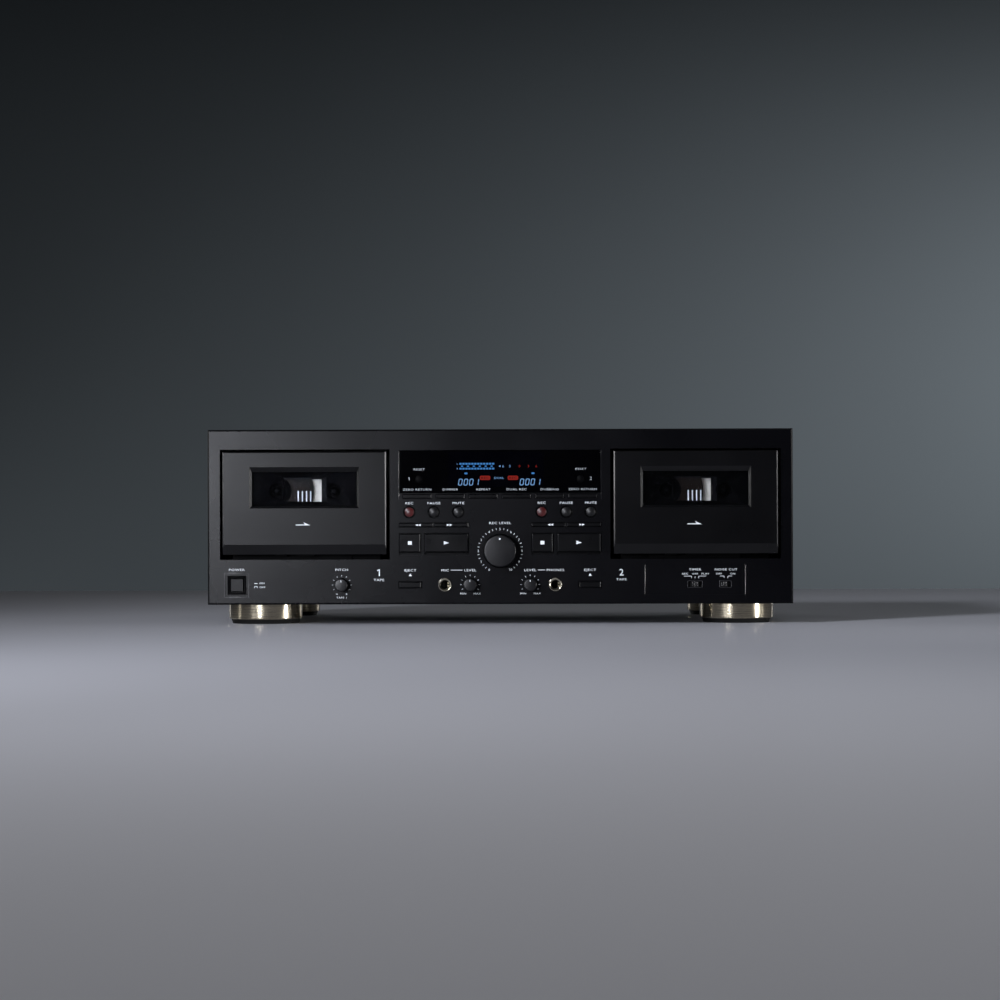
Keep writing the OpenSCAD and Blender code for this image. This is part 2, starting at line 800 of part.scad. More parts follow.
module jack(x) {
    difference() {
        union() {
            translate([x, 0, row_z]) rotate([90, 0, 0]) rotate_extrude()
                polygon([[0, 0], [jack_ring, 0], [jack_ring, jack_lip / 2],
                         [jack_ring - jack_lip / 2, jack_lip], [0, jack_lip]]);
            rod(x, row_z, -eps, panel_t + 1, jack_sleeve_r);
            block(x, row_z, jack_body, jack_body, panel_t, jack_depth + 3);
        }
        rod(x, row_z, -jack_lip - eps, jack_depth, jack_r);
    }
}

module line_sockets(k) {
    inside = case_d - sheet_t;
    x = socket_place(k, 0);
    z = base_z + socket_up;
    difference() {
        union() {
            block(x, z, 2 * socket_pitch - 2, 2 * socket_pitch - 2, inside - socket_body, inside);
            for (i = [-1, 1], j = [-1, 1])
                line_socket(x + i * socket_pitch / 2, z + j * socket_pitch / 2, inside);
        }
        for (i = [-1, 1], j = [-1, 1])
            rod(x + i * socket_pitch / 2, z + j * socket_pitch / 2, inside, case_d + socket_reach + eps,
                socket_pin_r);
    }
}

module line_socket(x, z, inside) {
    neck = 0.2;
    rod(x, z, inside - eps, case_d + eps, socket_r - neck);
    rod(x, z, case_d, case_d + socket_reach, socket_r);
}

module gland() {
    z = base_z + gland_up;
    difference() {
        union() {
            rod(gland_x, z, case_d, case_d + gland_flange_t, gland_flange_r);
            rod(gland_x, z, case_d - gland_tail, case_d + eps, gland_r + gland_wall);
        }
        rod(gland_x, z, case_d - gland_tail - eps, case_d + gland_flange_t + eps, gland_r);
    }
}

// Main board with its mains transformer, capacitors, heat sink and connectors
module main_board() {
    left = -main_w / 2;
    y0 = case_d - main_gap - main_d;
    top = main_z + board_t + solder_gap;
    place() {
        color(board_green) translate([left, y0, main_z]) cube([main_w, main_d, board_t]);
        translate([left + core_x, y0 + core_y, top]) transformer();
        color(dark_plastic) for (i = [0 : 2])
            translate([left + capacitor_x + i * capacitor_pitch, y0 + capacitor_y, top])
                cylinder(h = capacitor_h, r = capacitor_r);
        color(steel) translate([left + sink_x, y0 + sink_y, top]) heat_sink();
        color(dark_plastic) for (i = [0 : 2])
            translate([left + plug_x, y0 + plug_y + i * plug_pitch, top]) cube([plug_w, plug_d, plug_h]);
    }
}

// Mains transformer: a laminated core with the winding showing on both sides
module transformer() {
    color(steel) translate([0, coil_d, 0]) cube([core_w, core_d, core_h]);
    color(copper) for (y = [0, coil_d + core_d])
        translate([(core_w - coil_w) / 2, y, (core_h - coil_h) / 2]) cube([coil_w, coil_d, coil_h]);
}

module heat_sink() {
    cube([6 * fin_pitch + fin_t, fin_t, sink_h]);
    for (i = [0 : 6]) translate([i * fin_pitch, 0, 0]) cube([fin_t, fin_t + fin_d, sink_h]);
}

// One plate frame behind each door, with the hinge ears, bearings and motor bridge
module transport_frames() {
    color(steel) place() for (k = DECKS) translate([deck_x(k), 0, 0]) transport_frame();
}

module transport_frame() {
    low = pivot_z - 10;
    high = door_z + door_h;
    difference() {
        union() {
            block(0, (low + high) / 2, 2 * ear_out, high - low, plate_y, plate_y + plate_t);
            for (s = [-1, 1]) frame_cheek(s, low, high);
            for (i = [-0.5, 0.5]) rod(i * hub_pitch, hub_z, plate_y, bush_end, bush_r);
            rod(capstan_x, capstan_z, plate_y, bush_end, bush_r);
            block(0, capstan_z, 2 * ear_out, bridge_h, bridge_y, bridge_y + bridge_t);
        }
        for (i = [-0.5, 0.5]) rod(i * hub_pitch, hub_z, plate_y - eps, bush_end + eps, spindle_r + run_fit);
        rod(capstan_x, capstan_z, plate_y - eps, bridge_y + bridge_t + eps, capstan_r + run_fit);
        rod(motor_x, capstan_z, bridge_y - eps, bridge_y + bridge_t + eps, pulley_r);
        rod_x(-ear_out - eps, ear_out + eps, pivot_y, pivot_z, hinge_r + run_fit);
    }
}

module frame_cheek(s, low, high) {
    x0 = s > 0 ? ear_in : -ear_out;
    along_x(x0, x0 + ear_t, [[plate_y, low], [bridge_y - leg_d, low], [bridge_y - leg_d, floor_z],
                             [bridge_y, floor_z], [bridge_y, high], [plate_y, high]]);
    along_x(x0, x0 + ear_t, [[pivot_y, pivot_z - ear_r], [plate_y + eps, pivot_z - ear_r],
                             [plate_y + eps, pivot_z + ear_r], [pivot_y, pivot_z + ear_r]]);
    rod_x(x0, x0 + ear_t, pivot_y, pivot_z, ear_r);
}

// A motor on each frame's bridge, and the belt from its pulley to the flywheel
module belt_drives() {
    place() for (k = DECKS) translate([deck_x(k), 0, 0]) {
        color(steel) drive_motor();
        color(dark_plastic) drive_belt();
    }
}

module drive_motor() {
    pulley_y = flywheel_y + (flywheel_t - pulley_t) / 2;
    rod(motor_x, capstan_z, bridge_y + bridge_t, bridge_y + bridge_t + motor_l, motor_r);
    rod(motor_x, capstan_z, pulley_y, bridge_y + bridge_t + eps, 1.2);
    rod(motor_x, capstan_z, pulley_y, pulley_y + pulley_t, pulley_r);
}

module drive_belt() {
    y0 = flywheel_y + (flywheel_t - belt_w) / 2;
    translate([0, y0 + belt_w, 0]) rotate([90, 0, 0]) linear_extrude(belt_w) difference() {
        belt_outline(side_gap + belt_t);
        belt_outline(side_gap);
    }
}

module belt_outline(more) {
    hull() {
        translate([capstan_x, capstan_z]) circle(r = flywheel_r + more, $fn = 64);
        translate([motor_x, capstan_z]) circle(r = pulley_r + more, $fn = 32);
    }
}

module door(k) {
    x = deck_x(k);
    z = door_z + door_h / 2;
    wz = door_z + window_up + window_h / 2;
    band_d = 2.4;
    color(black_panel) place() difference() {
        intersection() {
            bevelled(x, z, door_w, door_h, -door_proud, door_back, 0.8, 0.5, 0.8, 0.8);
            along_x(x - door_w / 2 - eps, x + door_w / 2 + eps,
                    [[-door_proud - eps, door_z + door_band], [-door_proud, door_z + door_band],
                     [-door_proud + band_d, door_z - eps], [door_back + eps, door_z - eps],
                     [door_back + eps, door_z + door_h + eps], [-door_proud - eps, door_z + door_h + eps]]);
        }
        flare(x, wz, window_w, window_h, -door_proud, window_bevel, window_bevel, window_bevel_top,
              door_t / 2);
        block(x, lens_z, lens_w + 2 * sheet_fit, lens_h + 2 * sheet_fit,
              -door_proud - eps, door_back + eps);
    }
}

module door_window(k) {
    flange = 1.8;
    color(clear_smoke, 0.5) place() {
        block(deck_x(k), lens_z, lens_w, lens_h, -door_proud + door_t / 2, door_back + 0.2);
        block(deck_x(k), lens_z, lens_w + 2 * flange, lens_h + 2 * flange, door_back, door_back + 1.2);
    }
}

// Carrier behind a door: side channels for the cassette, corner rests, a cross bar, and the hinge pins
module cassette_holder(k) {
    low = cassette_z - cassette_fit - rest_t;
    cross_h = 4;
    cross_t = 1.4;
    color(dark_plastic) place() translate([deck_x(k), 0, 0]) {
        block(0, low + cross_h / 2, 2 * holder_in + eps, cross_h, door_back, door_back + cross_t);
        for (s = [-1, 1]) holder_side(s, low);
    }
}

module holder_side(s, low) {
    high = cassette_z + cassette_h - 2.3;
    mid = (low + high) / 2;
    channel_w = 5.7;
    channel_t = 1.3;
    rest_w = 14;
    wall_x = s * (holder_in + holder_wall / 2);
    channel_x = s * (holder_in - channel_w / 2);
    pin_x = s > 0 ? holder_in : -ear_out;
    block(wall_x, mid, holder_wall, high - low, door_back, bay_back);
    block(channel_x, mid, channel_w, high - low, bay_back - channel_t, bay_back);
    block(channel_x, mid, channel_w, high - low, door_back, bay_front + channel_t);
    block(s * (holder_in - rest_w / 2), low + rest_t / 2, rest_w, rest_t, door_back, bay_back);
    block(wall_x, (pivot_z + low + eps) / 2, holder_wall, low + eps - pivot_z, door_back, pivot_y + ear_r);
    block(wall_x, pivot_z - ear_r / 2, holder_wall, ear_r, door_back, pivot_y);
    rod_x(wall_x - holder_wall / 2, wall_x + holder_wall / 2, pivot_y, pivot_z, ear_r);
    rod_x(pin_x, pin_x + ear_out - holder_in, pivot_y, pivot_z, hinge_r);
}

// Splined spindle that turns a cassette hub, with its flange, shaft and reel gear
module spindle(k, i) {
    x = spindle_x(k, i);
    flange_y = plate_y - side_gap - spindle_flange_t;
    gear_y = bush_end + side_gap;
    color(dark_plastic) place() {
        translate([x, flange_y + eps, hub_z]) rotate([90, 0, 0]) rotate_extrude()
            polygon([[0, 0], [spindle_core_r, 0], [spindle_core_r, flange_y + eps - spindle_tip - 1.5],
                     [1.4, flange_y + eps - spindle_tip], [0, flange_y + eps - spindle_tip]]);
        for (a = [0 : 120 : 240]) translate([x, 0, hub_z]) rotate([0, a, 0])
            block(0, spindle_fin_r / 2, 1.2, spindle_fin_r, spindle_tip + 2, flange_y + eps);
        rod(x, hub_z, flange_y, plate_y - side_gap, spindle_flange_r);
        rod(x, hub_z, plate_y - side_gap - eps, gear_y + eps, spindle_r);
        rod(x, hub_z, gear_y, gear_y + reel_gear_t, reel_gear_r);
    }
}

module flywheel(k) {
    x = deck_x(k) + capstan_x;
    color(steel) place() {
        rod(x, capstan_z, bay_front + 1, bridge_y + bridge_t - side_gap, capstan_r);
        rod(x, capstan_z, flywheel_y, flywheel_y + flywheel_t, flywheel_r);
        rod(x, capstan_z, flywheel_y + flywheel_t - eps, bridge_y - side_gap, 4);
    }
}

// Sliding plate with the tape head, the erase head and the pinch roller's pin
module head_carriage(k) {
    x = deck_x(k);
    head_low = carriage_z + 3;
    erase_x = 18;
    erase_top = head_top - 1;
    color(steel) place() {
        block(x, carriage_z + carriage_h / 2, carriage_w, carriage_h, carriage_y, carriage_y + carriage_t);
        block(x, (head_low + head_top) / 2, 13, head_top - head_low, bay_front + 1.5, carriage_y + eps);
        block(x - erase_x, (head_low + erase_top) / 2, 8, erase_top - head_low,
              bay_front + 2, carriage_y + eps);
        rod(x + capstan_x, pinch_z, bay_front + 1.5, carriage_y + eps, pinch_pin_r);
    }
}

module pinch_roller(k) {
    x = deck_x(k) + capstan_x;
    color(dark_plastic) place() difference() {
        rod(x, pinch_z, bay_front + 2.5, carriage_y - side_gap, pinch_r);
        rod(x, pinch_z, bay_front, carriage_y, pinch_pin_r + run_fit);
    }
}

module power_button() {
    body_end = power_switch_y - key_travel - press_gap;
    back_size = power_size + 2;
    color(black_key) place() {
        bevelled(-power_x, row_z, power_size, power_size, power_in, body_end,
                 key_bevel, key_bevel, key_bevel, key_bevel);
        block(-power_x, row_z, back_size, back_size, key_lip_y + power_travel, body_end);
    }
}

// A turned knob with its shaft
module knob(name) {
    spot = knob_place(name);
    r = spot[2];
    reach = spot[3];
    face_r = 0.92 * r;
    edge = 0.8;
    color(black_key) place() {
        translate([spot[0], 0, spot[1]]) rotate([90, 0, 0]) rotate_extrude($fn = 96)
            polygon([[0, side_gap], [r - edge / 2, side_gap], [r, side_gap + edge / 2],
                     [face_r, reach - edge], [face_r - edge, reach], [0, reach]]);
        rod(spot[0], spot[1], -side_gap - eps, shaft_end, shaft_r);
    }
}

// Slide switch cap with grip grooves and the base that keeps it behind the panel
module slider(x) {
    groove = 0.5;
    groove_pitch = slider_w / 4.4;
    base_more = 2;
    base_y = panel_t + side_gap;
    color(dark_plastic) place() difference() {
        union() {
            block(x, row_z, slider_w, slider_h, slider_y, base_y + slider_base_t);
            block(x, row_z, slider_w + base_more, slider_h + base_more, base_y, base_y + slider_base_t);
        }
        for (i = [-1.5 : 1.5])
            block(x + i * groove_pitch, row_z, groove, slider_h + 1, slider_y - eps, slider_y + groove);
    }
}

module screw(length) {
    taper = 0.6;
    cylinder(h = screw_head_h, r1 = screw_head_r, r2 = screw_head_r - taper);
    translate([0, 0, -length]) cylinder(h = length + screw_head_h / 2, r = screw_r);
}

// Screw that holds a foot to the chassis, from its seat up
module foot_screw() {
    head_h = 2.4;
    translate([0, 0, -head_h]) cylinder(h = head_h, r = foot_recess_r - 2);
    translate([0, 0, -head_h / 2]) cylinder(h = head_h / 2 + floor_z - foot_seat_z + 2, r = foot_screw_r);
}

module case_screws() {
    reach = 2 * sheet_t + 2;
    color(black_metal) place() {
        for (x = LIP_SCREWS) {
            translate([x, case_d + sheet_t, cover_top - lip_h / 2]) rotate([-90, 0, 0]) screw(reach);
            translate([x, case_d, base_z + end_flange_h]) rotate([-90, 0, 0]) screw(reach);
        }
        for (s = [-1, 1], y = SIDE_SCREWS)
            translate([s * cover_half, y, base_z + flange_h / 2]) rotate([0, s * 90, 0]) screw(reach);
        for (p = FEET) translate([p[0], p[1], foot_seat_z]) foot_screw();
    }
}

front_panel();
top_cover();
chassis();
rear_panel();
foot_rings();
foot_pads();
display_window();
control_board();
sockets();
main_board();
transport_frames();
belt_drives();
case_screws();
power_button();
slider(timer_x);  // timer_switch
slider(noise_x);  // noise_reduction_switch
for (name = KNOBS) knob(name);
for (i = [0 : 5]) color(black_key) place() key(strip_x(i), base_z + strip_up, strip_w, strip_h, strip_proud, key_lip);
for (k = DECKS) {
    door(k);
    door_window(k);
    cassette_holder(k);
    spindle(k, 0);
    spindle(k, 1);
    flywheel(k);
    head_carriage(k);
    pinch_roller(k);
    color(red_key) place() round_key(round_x(k, 0), base_z + round_up, round_r, round_proud);
    color(black_key) place() round_key(round_x(k, 1), base_z + round_up, round_r, round_proud);
    color(black_key) place() round_key(round_x(k, 2), base_z + round_up, round_r, round_proud);
    color(black_key) place() key(wind_x(k, 0), base_z + wind_up, wind_w, wind_h, wind_proud, wind_lip);
    color(black_key) place() key(wind_x(k, 1), base_z + wind_up, wind_w, wind_h, wind_proud, wind_lip);
    color(black_key) place() key(stop_x(k), base_z + play_up, stop_w, play_h, play_proud, key_lip);
    color(black_key) place() key(play_x(k), base_z + play_up, play_w, play_h, play_proud, key_lip);
    color(black_key) place() key(side(k) * eject_x, row_z, eject_w, eject_h, eject_proud, key_lip);
    color(black_key) place() round_key(side(k) * reset_x, base_z + reset_up, reset_r, reset_proud);
}
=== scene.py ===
"""Looks of a double cassette deck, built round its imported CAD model.

The frame is the CAD model's: +X runs to the right as seen from the front, the front faces -Y and +Z is up.
Sizes are millimetres, and MM turns them into Blender's metres.
"""

import logging
import math
from collections.abc import Callable, Iterable, Sequence
from dataclasses import dataclass
from enum import Enum

import bmesh
import bpy
from mathutils import Matrix, Vector


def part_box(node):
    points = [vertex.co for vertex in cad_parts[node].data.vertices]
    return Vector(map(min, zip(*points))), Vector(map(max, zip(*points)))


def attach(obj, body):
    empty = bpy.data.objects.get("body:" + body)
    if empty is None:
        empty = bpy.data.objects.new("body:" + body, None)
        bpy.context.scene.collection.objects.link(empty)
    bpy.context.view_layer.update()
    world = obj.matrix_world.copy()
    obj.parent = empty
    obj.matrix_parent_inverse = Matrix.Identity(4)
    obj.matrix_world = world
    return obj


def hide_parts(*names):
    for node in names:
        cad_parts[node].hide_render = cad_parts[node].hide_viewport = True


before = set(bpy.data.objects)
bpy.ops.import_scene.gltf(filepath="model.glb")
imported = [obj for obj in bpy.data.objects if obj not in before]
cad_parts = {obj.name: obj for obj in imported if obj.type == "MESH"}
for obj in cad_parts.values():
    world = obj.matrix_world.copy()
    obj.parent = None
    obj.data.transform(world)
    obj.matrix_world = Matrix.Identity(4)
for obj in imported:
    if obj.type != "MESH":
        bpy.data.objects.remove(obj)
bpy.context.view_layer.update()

log = logging.getLogger("cassette_deck")

MM = 0.001
DECKS = (1, 2)
BASE = "deck"
PANEL_SLOT = "panel_black"
SOCKET_SLOT = "socket_metal"
SMALL_KNOBS = ("mic_level_knob", "phones_level_knob", "pitch_knob")
SLIM_KEYS = {
    "return_to_zero_button_1": "ZERO RETURN", "dimmer_button": "DIMMER", "repeat_button": "REPEAT",
    "parallel_rec_button": "DUAL REC", "dub_start_button": "DUBBING",
    "return_to_zero_button_2": "ZERO RETURN"}
# Tint of the two cool lamps.
COOL = "#f3f6ff"
# A colour mix's sockets, which go by number: its two colours and its result.
MIX_A, MIX_B, MIX_RESULT = 6, 7, 2
# Nearly all of a noise lies between these.
NOISE_LOW, NOISE_HIGH = 0.3, 0.7
# Octaves of the noises for a colour's drift, for marks and for wipe marks.
TONE_DETAIL, MARK_DETAIL, WIPE_DETAIL = 3.0, 2.0, 4.0
# The least roughness that a drift may reach.
SMOOTHEST = 0.02
# A wave's rings repeat every 0.314 of its unit.
RING_UNIT = 0.314
# A face leans one way where that part of its direction is over LEANS, and lies square to it over SQUARE.
LEANS, SQUARE = 0.3, 0.97
# Points of a mesh that lie closer, in metres, are one.
SAME_POINT = 1e-7

Point = tuple[float, float]
Place = tuple[float, float, float]
Row = tuple[float, ...]
Outline = Sequence[Point]
Words = tuple[tuple[str, float, float, float, float], ...]
RowWords = tuple[tuple[str, float, float, float], ...]
Tree = bpy.types.NodeTree
Socket = bpy.types.NodeSocket


def linear(code: str) -> tuple[float, float, float, float]:
    """Turns an sRGB hex colour, such as "#1a1b1d", into linear red, green, blue and an alpha of 1."""
    shares = [int(code[i:i + 2], 16) / 255 for i in (1, 3, 5)]
    return tuple(s / 12.92 if s <= 0.04045 else ((s + 0.055) / 1.055) ** 2.4 for s in shares) + (1.0,)


def add_node(
    tree: Tree,
    kind: str,
    values: dict[str | int, object] | None = None,
    links: dict[str | int, Socket] | None = None,
    **settings: object,
) -> bpy.types.Node:
    """Adds a shader node with its settings and links.

    Args:
        tree: the material's node tree.
        kind: Blender's name for the node.
        values: input sockets and the constants set on them.
        links: input sockets and the outputs that feed them.
        settings: the node's own properties.

    Returns:
        The new node.
    """
    node = tree.nodes.new(kind)
    for key, value in settings.items():
        setattr(node, key, value)
    for socket, value in (values or {}).items():
        node.inputs[socket].default_value = value
    for socket, source in (links or {}).items():
        tree.links.new(source, node.inputs[socket])
    return node


class Lay(Enum):
    """Which way a surface's fine marks run, as how close they lie along X, Y and Z."""

    EVEN = (1.0, 1.0, 1.0)
    ROUND_Z = (0.05, 0.05, 1.0)
    RINGS = (1.0, 0.0, 1.0)


@dataclass(frozen=True)
class Surface:
    """What a piece is made of and how it was finished, as one Blender material."""

    name: str

    def material(self) -> bpy.types.Material:
        """Makes the material when it is first asked for, and then shares it.

        Returns:
            The material.
        """
        made = bpy.data.materials.get(self.name)
        if made is None:
            made = bpy.data.materials.new(self.name)
            made.use_nodes = True
            tree = made.node_tree
            tree.nodes.clear()
            place = add_node(tree, "ShaderNodeTexCoord").outputs["Object"]
            add_node(tree, "ShaderNodeOutputMaterial", links={"Surface": self.shade(tree, place)})
        return made

    def shade(self, tree: Tree, place: Socket) -> Socket:
        """Adds the shader to a material's tree, from a place in the object's own frame, and returns it."""
        raise NotImplementedError


@dataclass(frozen=True)
class Finish(Surface):
    """An opaque surface.

    dark and light are the two ends of its colour, which drifts over tone_mm. mark_mm is the width of
    its grain or tool marks and depth_mm their height. spread is how far the roughness drifts.
    """

    dark: str
    light: str
    roughness: float
    spread: float = 0.04
    metallic: float = 0.0
    ior: float = 1.5
    specular: float = 0.5
    lay: Lay = Lay.EVEN
    mark_mm: float = 0.8
    depth_mm: float = 0.004
    tone_mm: float = 30.0
    glow: str = ""
    glow_strength: float = 0.0

    def shade(self, tree: Tree, place: Socket) -> Socket:
        """Adds the shader with its colour drift, its roughness drift and its marks.

        Args:
            tree: the material's node tree.
            place: the surface point in the object's own frame.

        Returns:
            The shader's output.
        """
        drift = add_node(tree, "ShaderNodeTexNoise",
                         {"Scale": 1 / (self.tone_mm * MM), "Detail": TONE_DETAIL},
                         {"Vector": place}).outputs["Fac"]
        colour = add_node(tree, "ShaderNodeMix", {MIX_A: linear(self.dark), MIX_B: linear(self.light)},
                          {0: drift}, data_type="RGBA").outputs[MIX_RESULT]
        low, high = max(SMOOTHEST, self.roughness - self.spread), self.roughness + self.spread
        rough = add_node(tree, "ShaderNodeMapRange",
                         {"From Min": NOISE_LOW, "From Max": NOISE_HIGH, "To Min": low, "To Max": high},
                         {"Value": drift}).outputs["Result"]
        bump = add_node(tree, "ShaderNodeBump", {"Strength": 1.0, "Distance": self.depth_mm * MM},
                        {"Height": self.marks(tree, place)}).outputs["Normal"]
        values = {"Metallic": self.metallic, "IOR": self.ior, "Specular IOR Level": self.specular}
        if self.glow:
            values |= {"Emission Color": linear(self.glow), "Emission Strength": self.glow_strength}
        return add_node(tree, "ShaderNodeBsdfPrincipled", values,
                        {"Base Color": colour, "Roughness": rough, "Normal": bump}).outputs["BSDF"]

    def marks(self, tree: Tree, place: Socket) -> Socket:
        """Adds the pattern of grain or tool marks.

        Args:
            tree: the material's node tree.
            place: the surface point in the object's own frame.

        Returns:
            The height of the marks, from 0 to 1.
        """
        if self.lay is Lay.RINGS:
            return add_node(tree, "ShaderNodeTexWave", {"Scale": RING_UNIT / (self.mark_mm * MM)},
                            {"Vector": place}, wave_type="RINGS", rings_direction="Y").outputs["Fac"]
        lay = add_node(tree, "ShaderNodeMapping", {"Scale": self.lay.value}, {"Vector": place})
        return add_node(tree, "ShaderNodeTexNoise", {"Scale": 1 / (self.mark_mm * MM), "Detail": MARK_DETAIL},
                        {"Vector": lay.outputs["Vector"]}).outputs["Fac"]


@dataclass(frozen=True)
class ClearFinish(Surface):
    """A see-through moulding, with faint wipe marks in its gloss, that lets lamplight in behind it."""

    tint: str
    roughness: float
    ior: float = 1.49
    wipe_mm: float = 18.0

    def shade(self, tree: Tree, place: Socket) -> Socket:
        """Adds the shader, which is clear to lamplight.

        Args:
            tree: the material's node tree.
            place: the surface point in the object's own frame.

        Returns:
            The shader's output.
        """
        wipes = add_node(tree, "ShaderNodeTexNoise",
                         {"Scale": 1 / (self.wipe_mm * MM), "Detail": WIPE_DETAIL},
                         {"Vector": place}).outputs["Fac"]
        rough = add_node(tree, "ShaderNodeMapRange", {"To Min": 0.0, "To Max": 2 * self.roughness},
                         {"Value": wipes}).outputs["Result"]
        glass = add_node(tree, "ShaderNodeBsdfPrincipled",
                         {"Base Color": linear(self.tint), "Transmission Weight": 1.0, "IOR": self.ior},
                         {"Roughness": rough})
        through = add_node(tree, "ShaderNodeBsdfTransparent", {"Color": linear(self.tint)})
        shadow = add_node(tree, "ShaderNodeLightPath").outputs["Is Shadow Ray"]
        return add_node(tree, "ShaderNodeMixShader", links={
            0: shadow, 1: glass.outputs["BSDF"], 2: through.outputs["BSDF"]}).outputs["Shader"]


def acrylic(name: str, dark: str, light: str, **more: object) -> Finish:
    """Returns a finish with the display window's polished acrylic face."""
    return Finish(name, dark, light, roughness=0.06, spread=0.02, ior=1.49, specular=0.3, mark_mm=25,
                  depth_mm=0.002, **more)


# Black anodised aluminium, bead blasted: a satin sheen that fades slowly across the plate. The blasted
# grain is about 0.15 mm, and is drawn at 0.7 mm so that it shows.
PANEL = Finish("black_anodised_aluminium_bead_blasted", "#020204", "#050508", 0.28, 0.03, specular=0.13,
               mark_mm=0.7, tone_mm=60)
# Black ABS moulded in a fine spark-eroded texture: the same satin black, a little softer.
DOOR = Finish("black_abs_spark_textured", "#050506", "#09090b", 0.3, 0.03, specular=0.12, mark_mm=0.7,
              depth_mm=0.005, tone_mm=45)
# The chamfers of the door, which the tool left smoother than its face: they pick up the floor.
CHAMFER = Finish("black_abs_smooth_chamfer", "#060607", "#0a0a0c", 0.3, 0.03, specular=0.28, mark_mm=0.7,
                 depth_mm=0.003)
# Edges, ribs and thin frames in a grey much lighter than the panel's black, with a stronger gloss: the
# lighter grey is a painted highlight, standing for the glint of light along them.
EDGE_HIGHLIGHT = Finish("black_anodised_aluminium_painted_edge_highlight", "#1a1a1d", "#242427", 0.24, specular=0.6, depth_mm=0.002,
              tone_mm=12)
# Black ABS, matt and nearly black: the counter reset buttons and the dark words on the red badges. The same
# black is also painted shade: the rims, collars and knob skirts in it, and the black round the power button,
# stand for the shadow round the keys, the power button and the knobs.
MATT_BLACK_AND_SHADE = Finish("black_abs_matt_and_painted_shade", "#010102", "#030304", 0.5, 0.05, specular=0.04, tone_mm=10)
# ABS from a satin tool: round buttons, flat keys, knobs with a softer gleam, and the dark red record button.
BUTTON = Finish("black_abs_button_satin_moulded", "#08080a", "#0e0e10", 0.36, specular=0.35, mark_mm=0.6,
                tone_mm=5)
KEY = Finish("black_abs_satin_moulded", "#050506", "#09090b", 0.3, specular=0.1, mark_mm=0.6, tone_mm=14)
KNOB = Finish("black_abs_knob_satin_moulded", "#09090b", "#0f0f12", 0.34, specular=0.26, mark_mm=0.6,
              tone_mm=9)
KEY_RED = Finish("dark_red_abs_satin_moulded", "#360c0d", "#431011", 0.34, specular=0.45, mark_mm=0.6,
                 depth_mm=0.003, tone_mm=4)
# Black acetal, moulded: the slide switches, waxy and without a glint.
SLIDER = Finish("black_acetal_moulded", "#08080a", "#0e0e10", 0.42, specular=0.2, mark_mm=0.6, tone_mm=5)
# Cast acrylic, polished and dyed black: a clean dark gloss over the lit tube.
DISPLAY = acrylic("black_acrylic_polished", "#010102", "#020203")
# The tube's glass behind the window: nearly black, with a breath of blue from its own figures.
TUBE = acrylic("vacuum_tube_glass_behind_acrylic", "#010103", "#020205", tone_mm=9)
# The tube's phosphors, lit, under the window's gloss: the blue-white figures, the bluer bars and the
# filtered red.
BLUE = acrylic("blue_white_phosphor_lit", "#061a28", "#081e2e", glow="#8cbcf5", glow_strength=0.68)
BAR = acrylic("blue_phosphor_lit", "#051626", "#061a2c", glow="#569fee", glow_strength=0.52)
RED = acrylic("red_filtered_phosphor_lit", "#280808", "#300a0a", glow="#e04034", glow_strength=0.24)
# Clear acrylic, polished: the doors' windows, with a thin gloss over the cassettes.
WINDOW = ClearFinish("clear_acrylic_polished", "#d9dbde", 0.02)
# Steel sheet in black powder coat: a fine orange-peel grain of about 0.5 mm, drawn at 0.9 mm.
COVER = Finish("steel_sheet_black_powder_coat", "#0c0c0d", "#131315", 0.52, 0.06, mark_mm=0.9,
               depth_mm=0.02, tone_mm=50)
# Steel sheet, rolled and zinc plated: a cool grey that is cloudy from place to place.
ZINC = Finish("steel_sheet_zinc_plated", "#8b8f92", "#a9adb0", 0.36, 0.08, metallic=1.0, mark_mm=1.5,
              tone_mm=12)
# Steel plate, pressed and blackened with phosphate: dull and nearly black. Its near-black is also painted
# shade that keeps the gaps round the doors dark, on the transport frames and on the heads' lower faces.
FRAME = Finish("steel_plate_black_phosphate_and_painted_shade", "#020203", "#040405", 0.6, 0.05, specular=0.04, mark_mm=1.0,
               depth_mm=0.01, tone_mm=15)
# Steel turned on a lathe: fine rings and a bright gleam.
TURNED_STEEL = Finish("steel_turned", "#8e9092", "#a8aaac", 0.28, 0.05, metallic=1.0, lay=Lay.RINGS,
                      mark_mm=0.6)
# Aluminium turned on a lathe and anodised champagne: fine level lines round the side, 0.1 mm apart in the
# real ring and drawn at 0.8 mm, with warm upright reflections.
FOOT = Finish("champagne_anodised_aluminium_turned", "#a39a86", "#b8ae99", 0.15, 0.03, metallic=1.0,
              lay=Lay.ROUND_Z, depth_mm=0.035, tone_mm=15)
# Black rubber, moulded: feet, belts and rollers, dead matt.
RUBBER = Finish("black_rubber_moulded", "#060606", "#0a0a0a", 0.75, 0.05, specular=0.2, depth_mm=0.02,
                tone_mm=10)
# Glass epoxy board under a solder mask, waxy green, and the parts on it, moulded in dull black epoxy.
BOARD = Finish("glass_epoxy_board_solder_mask", "#173a22", "#1e4a2c", 0.35, 0.05, mark_mm=2.0,
               depth_mm=0.02, tone_mm=8)
PARTS = Finish("black_epoxy_component_moulded", "#141416", "#1d1d20", 0.5, mark_mm=1.0, depth_mm=0.01,
               tone_mm=6)
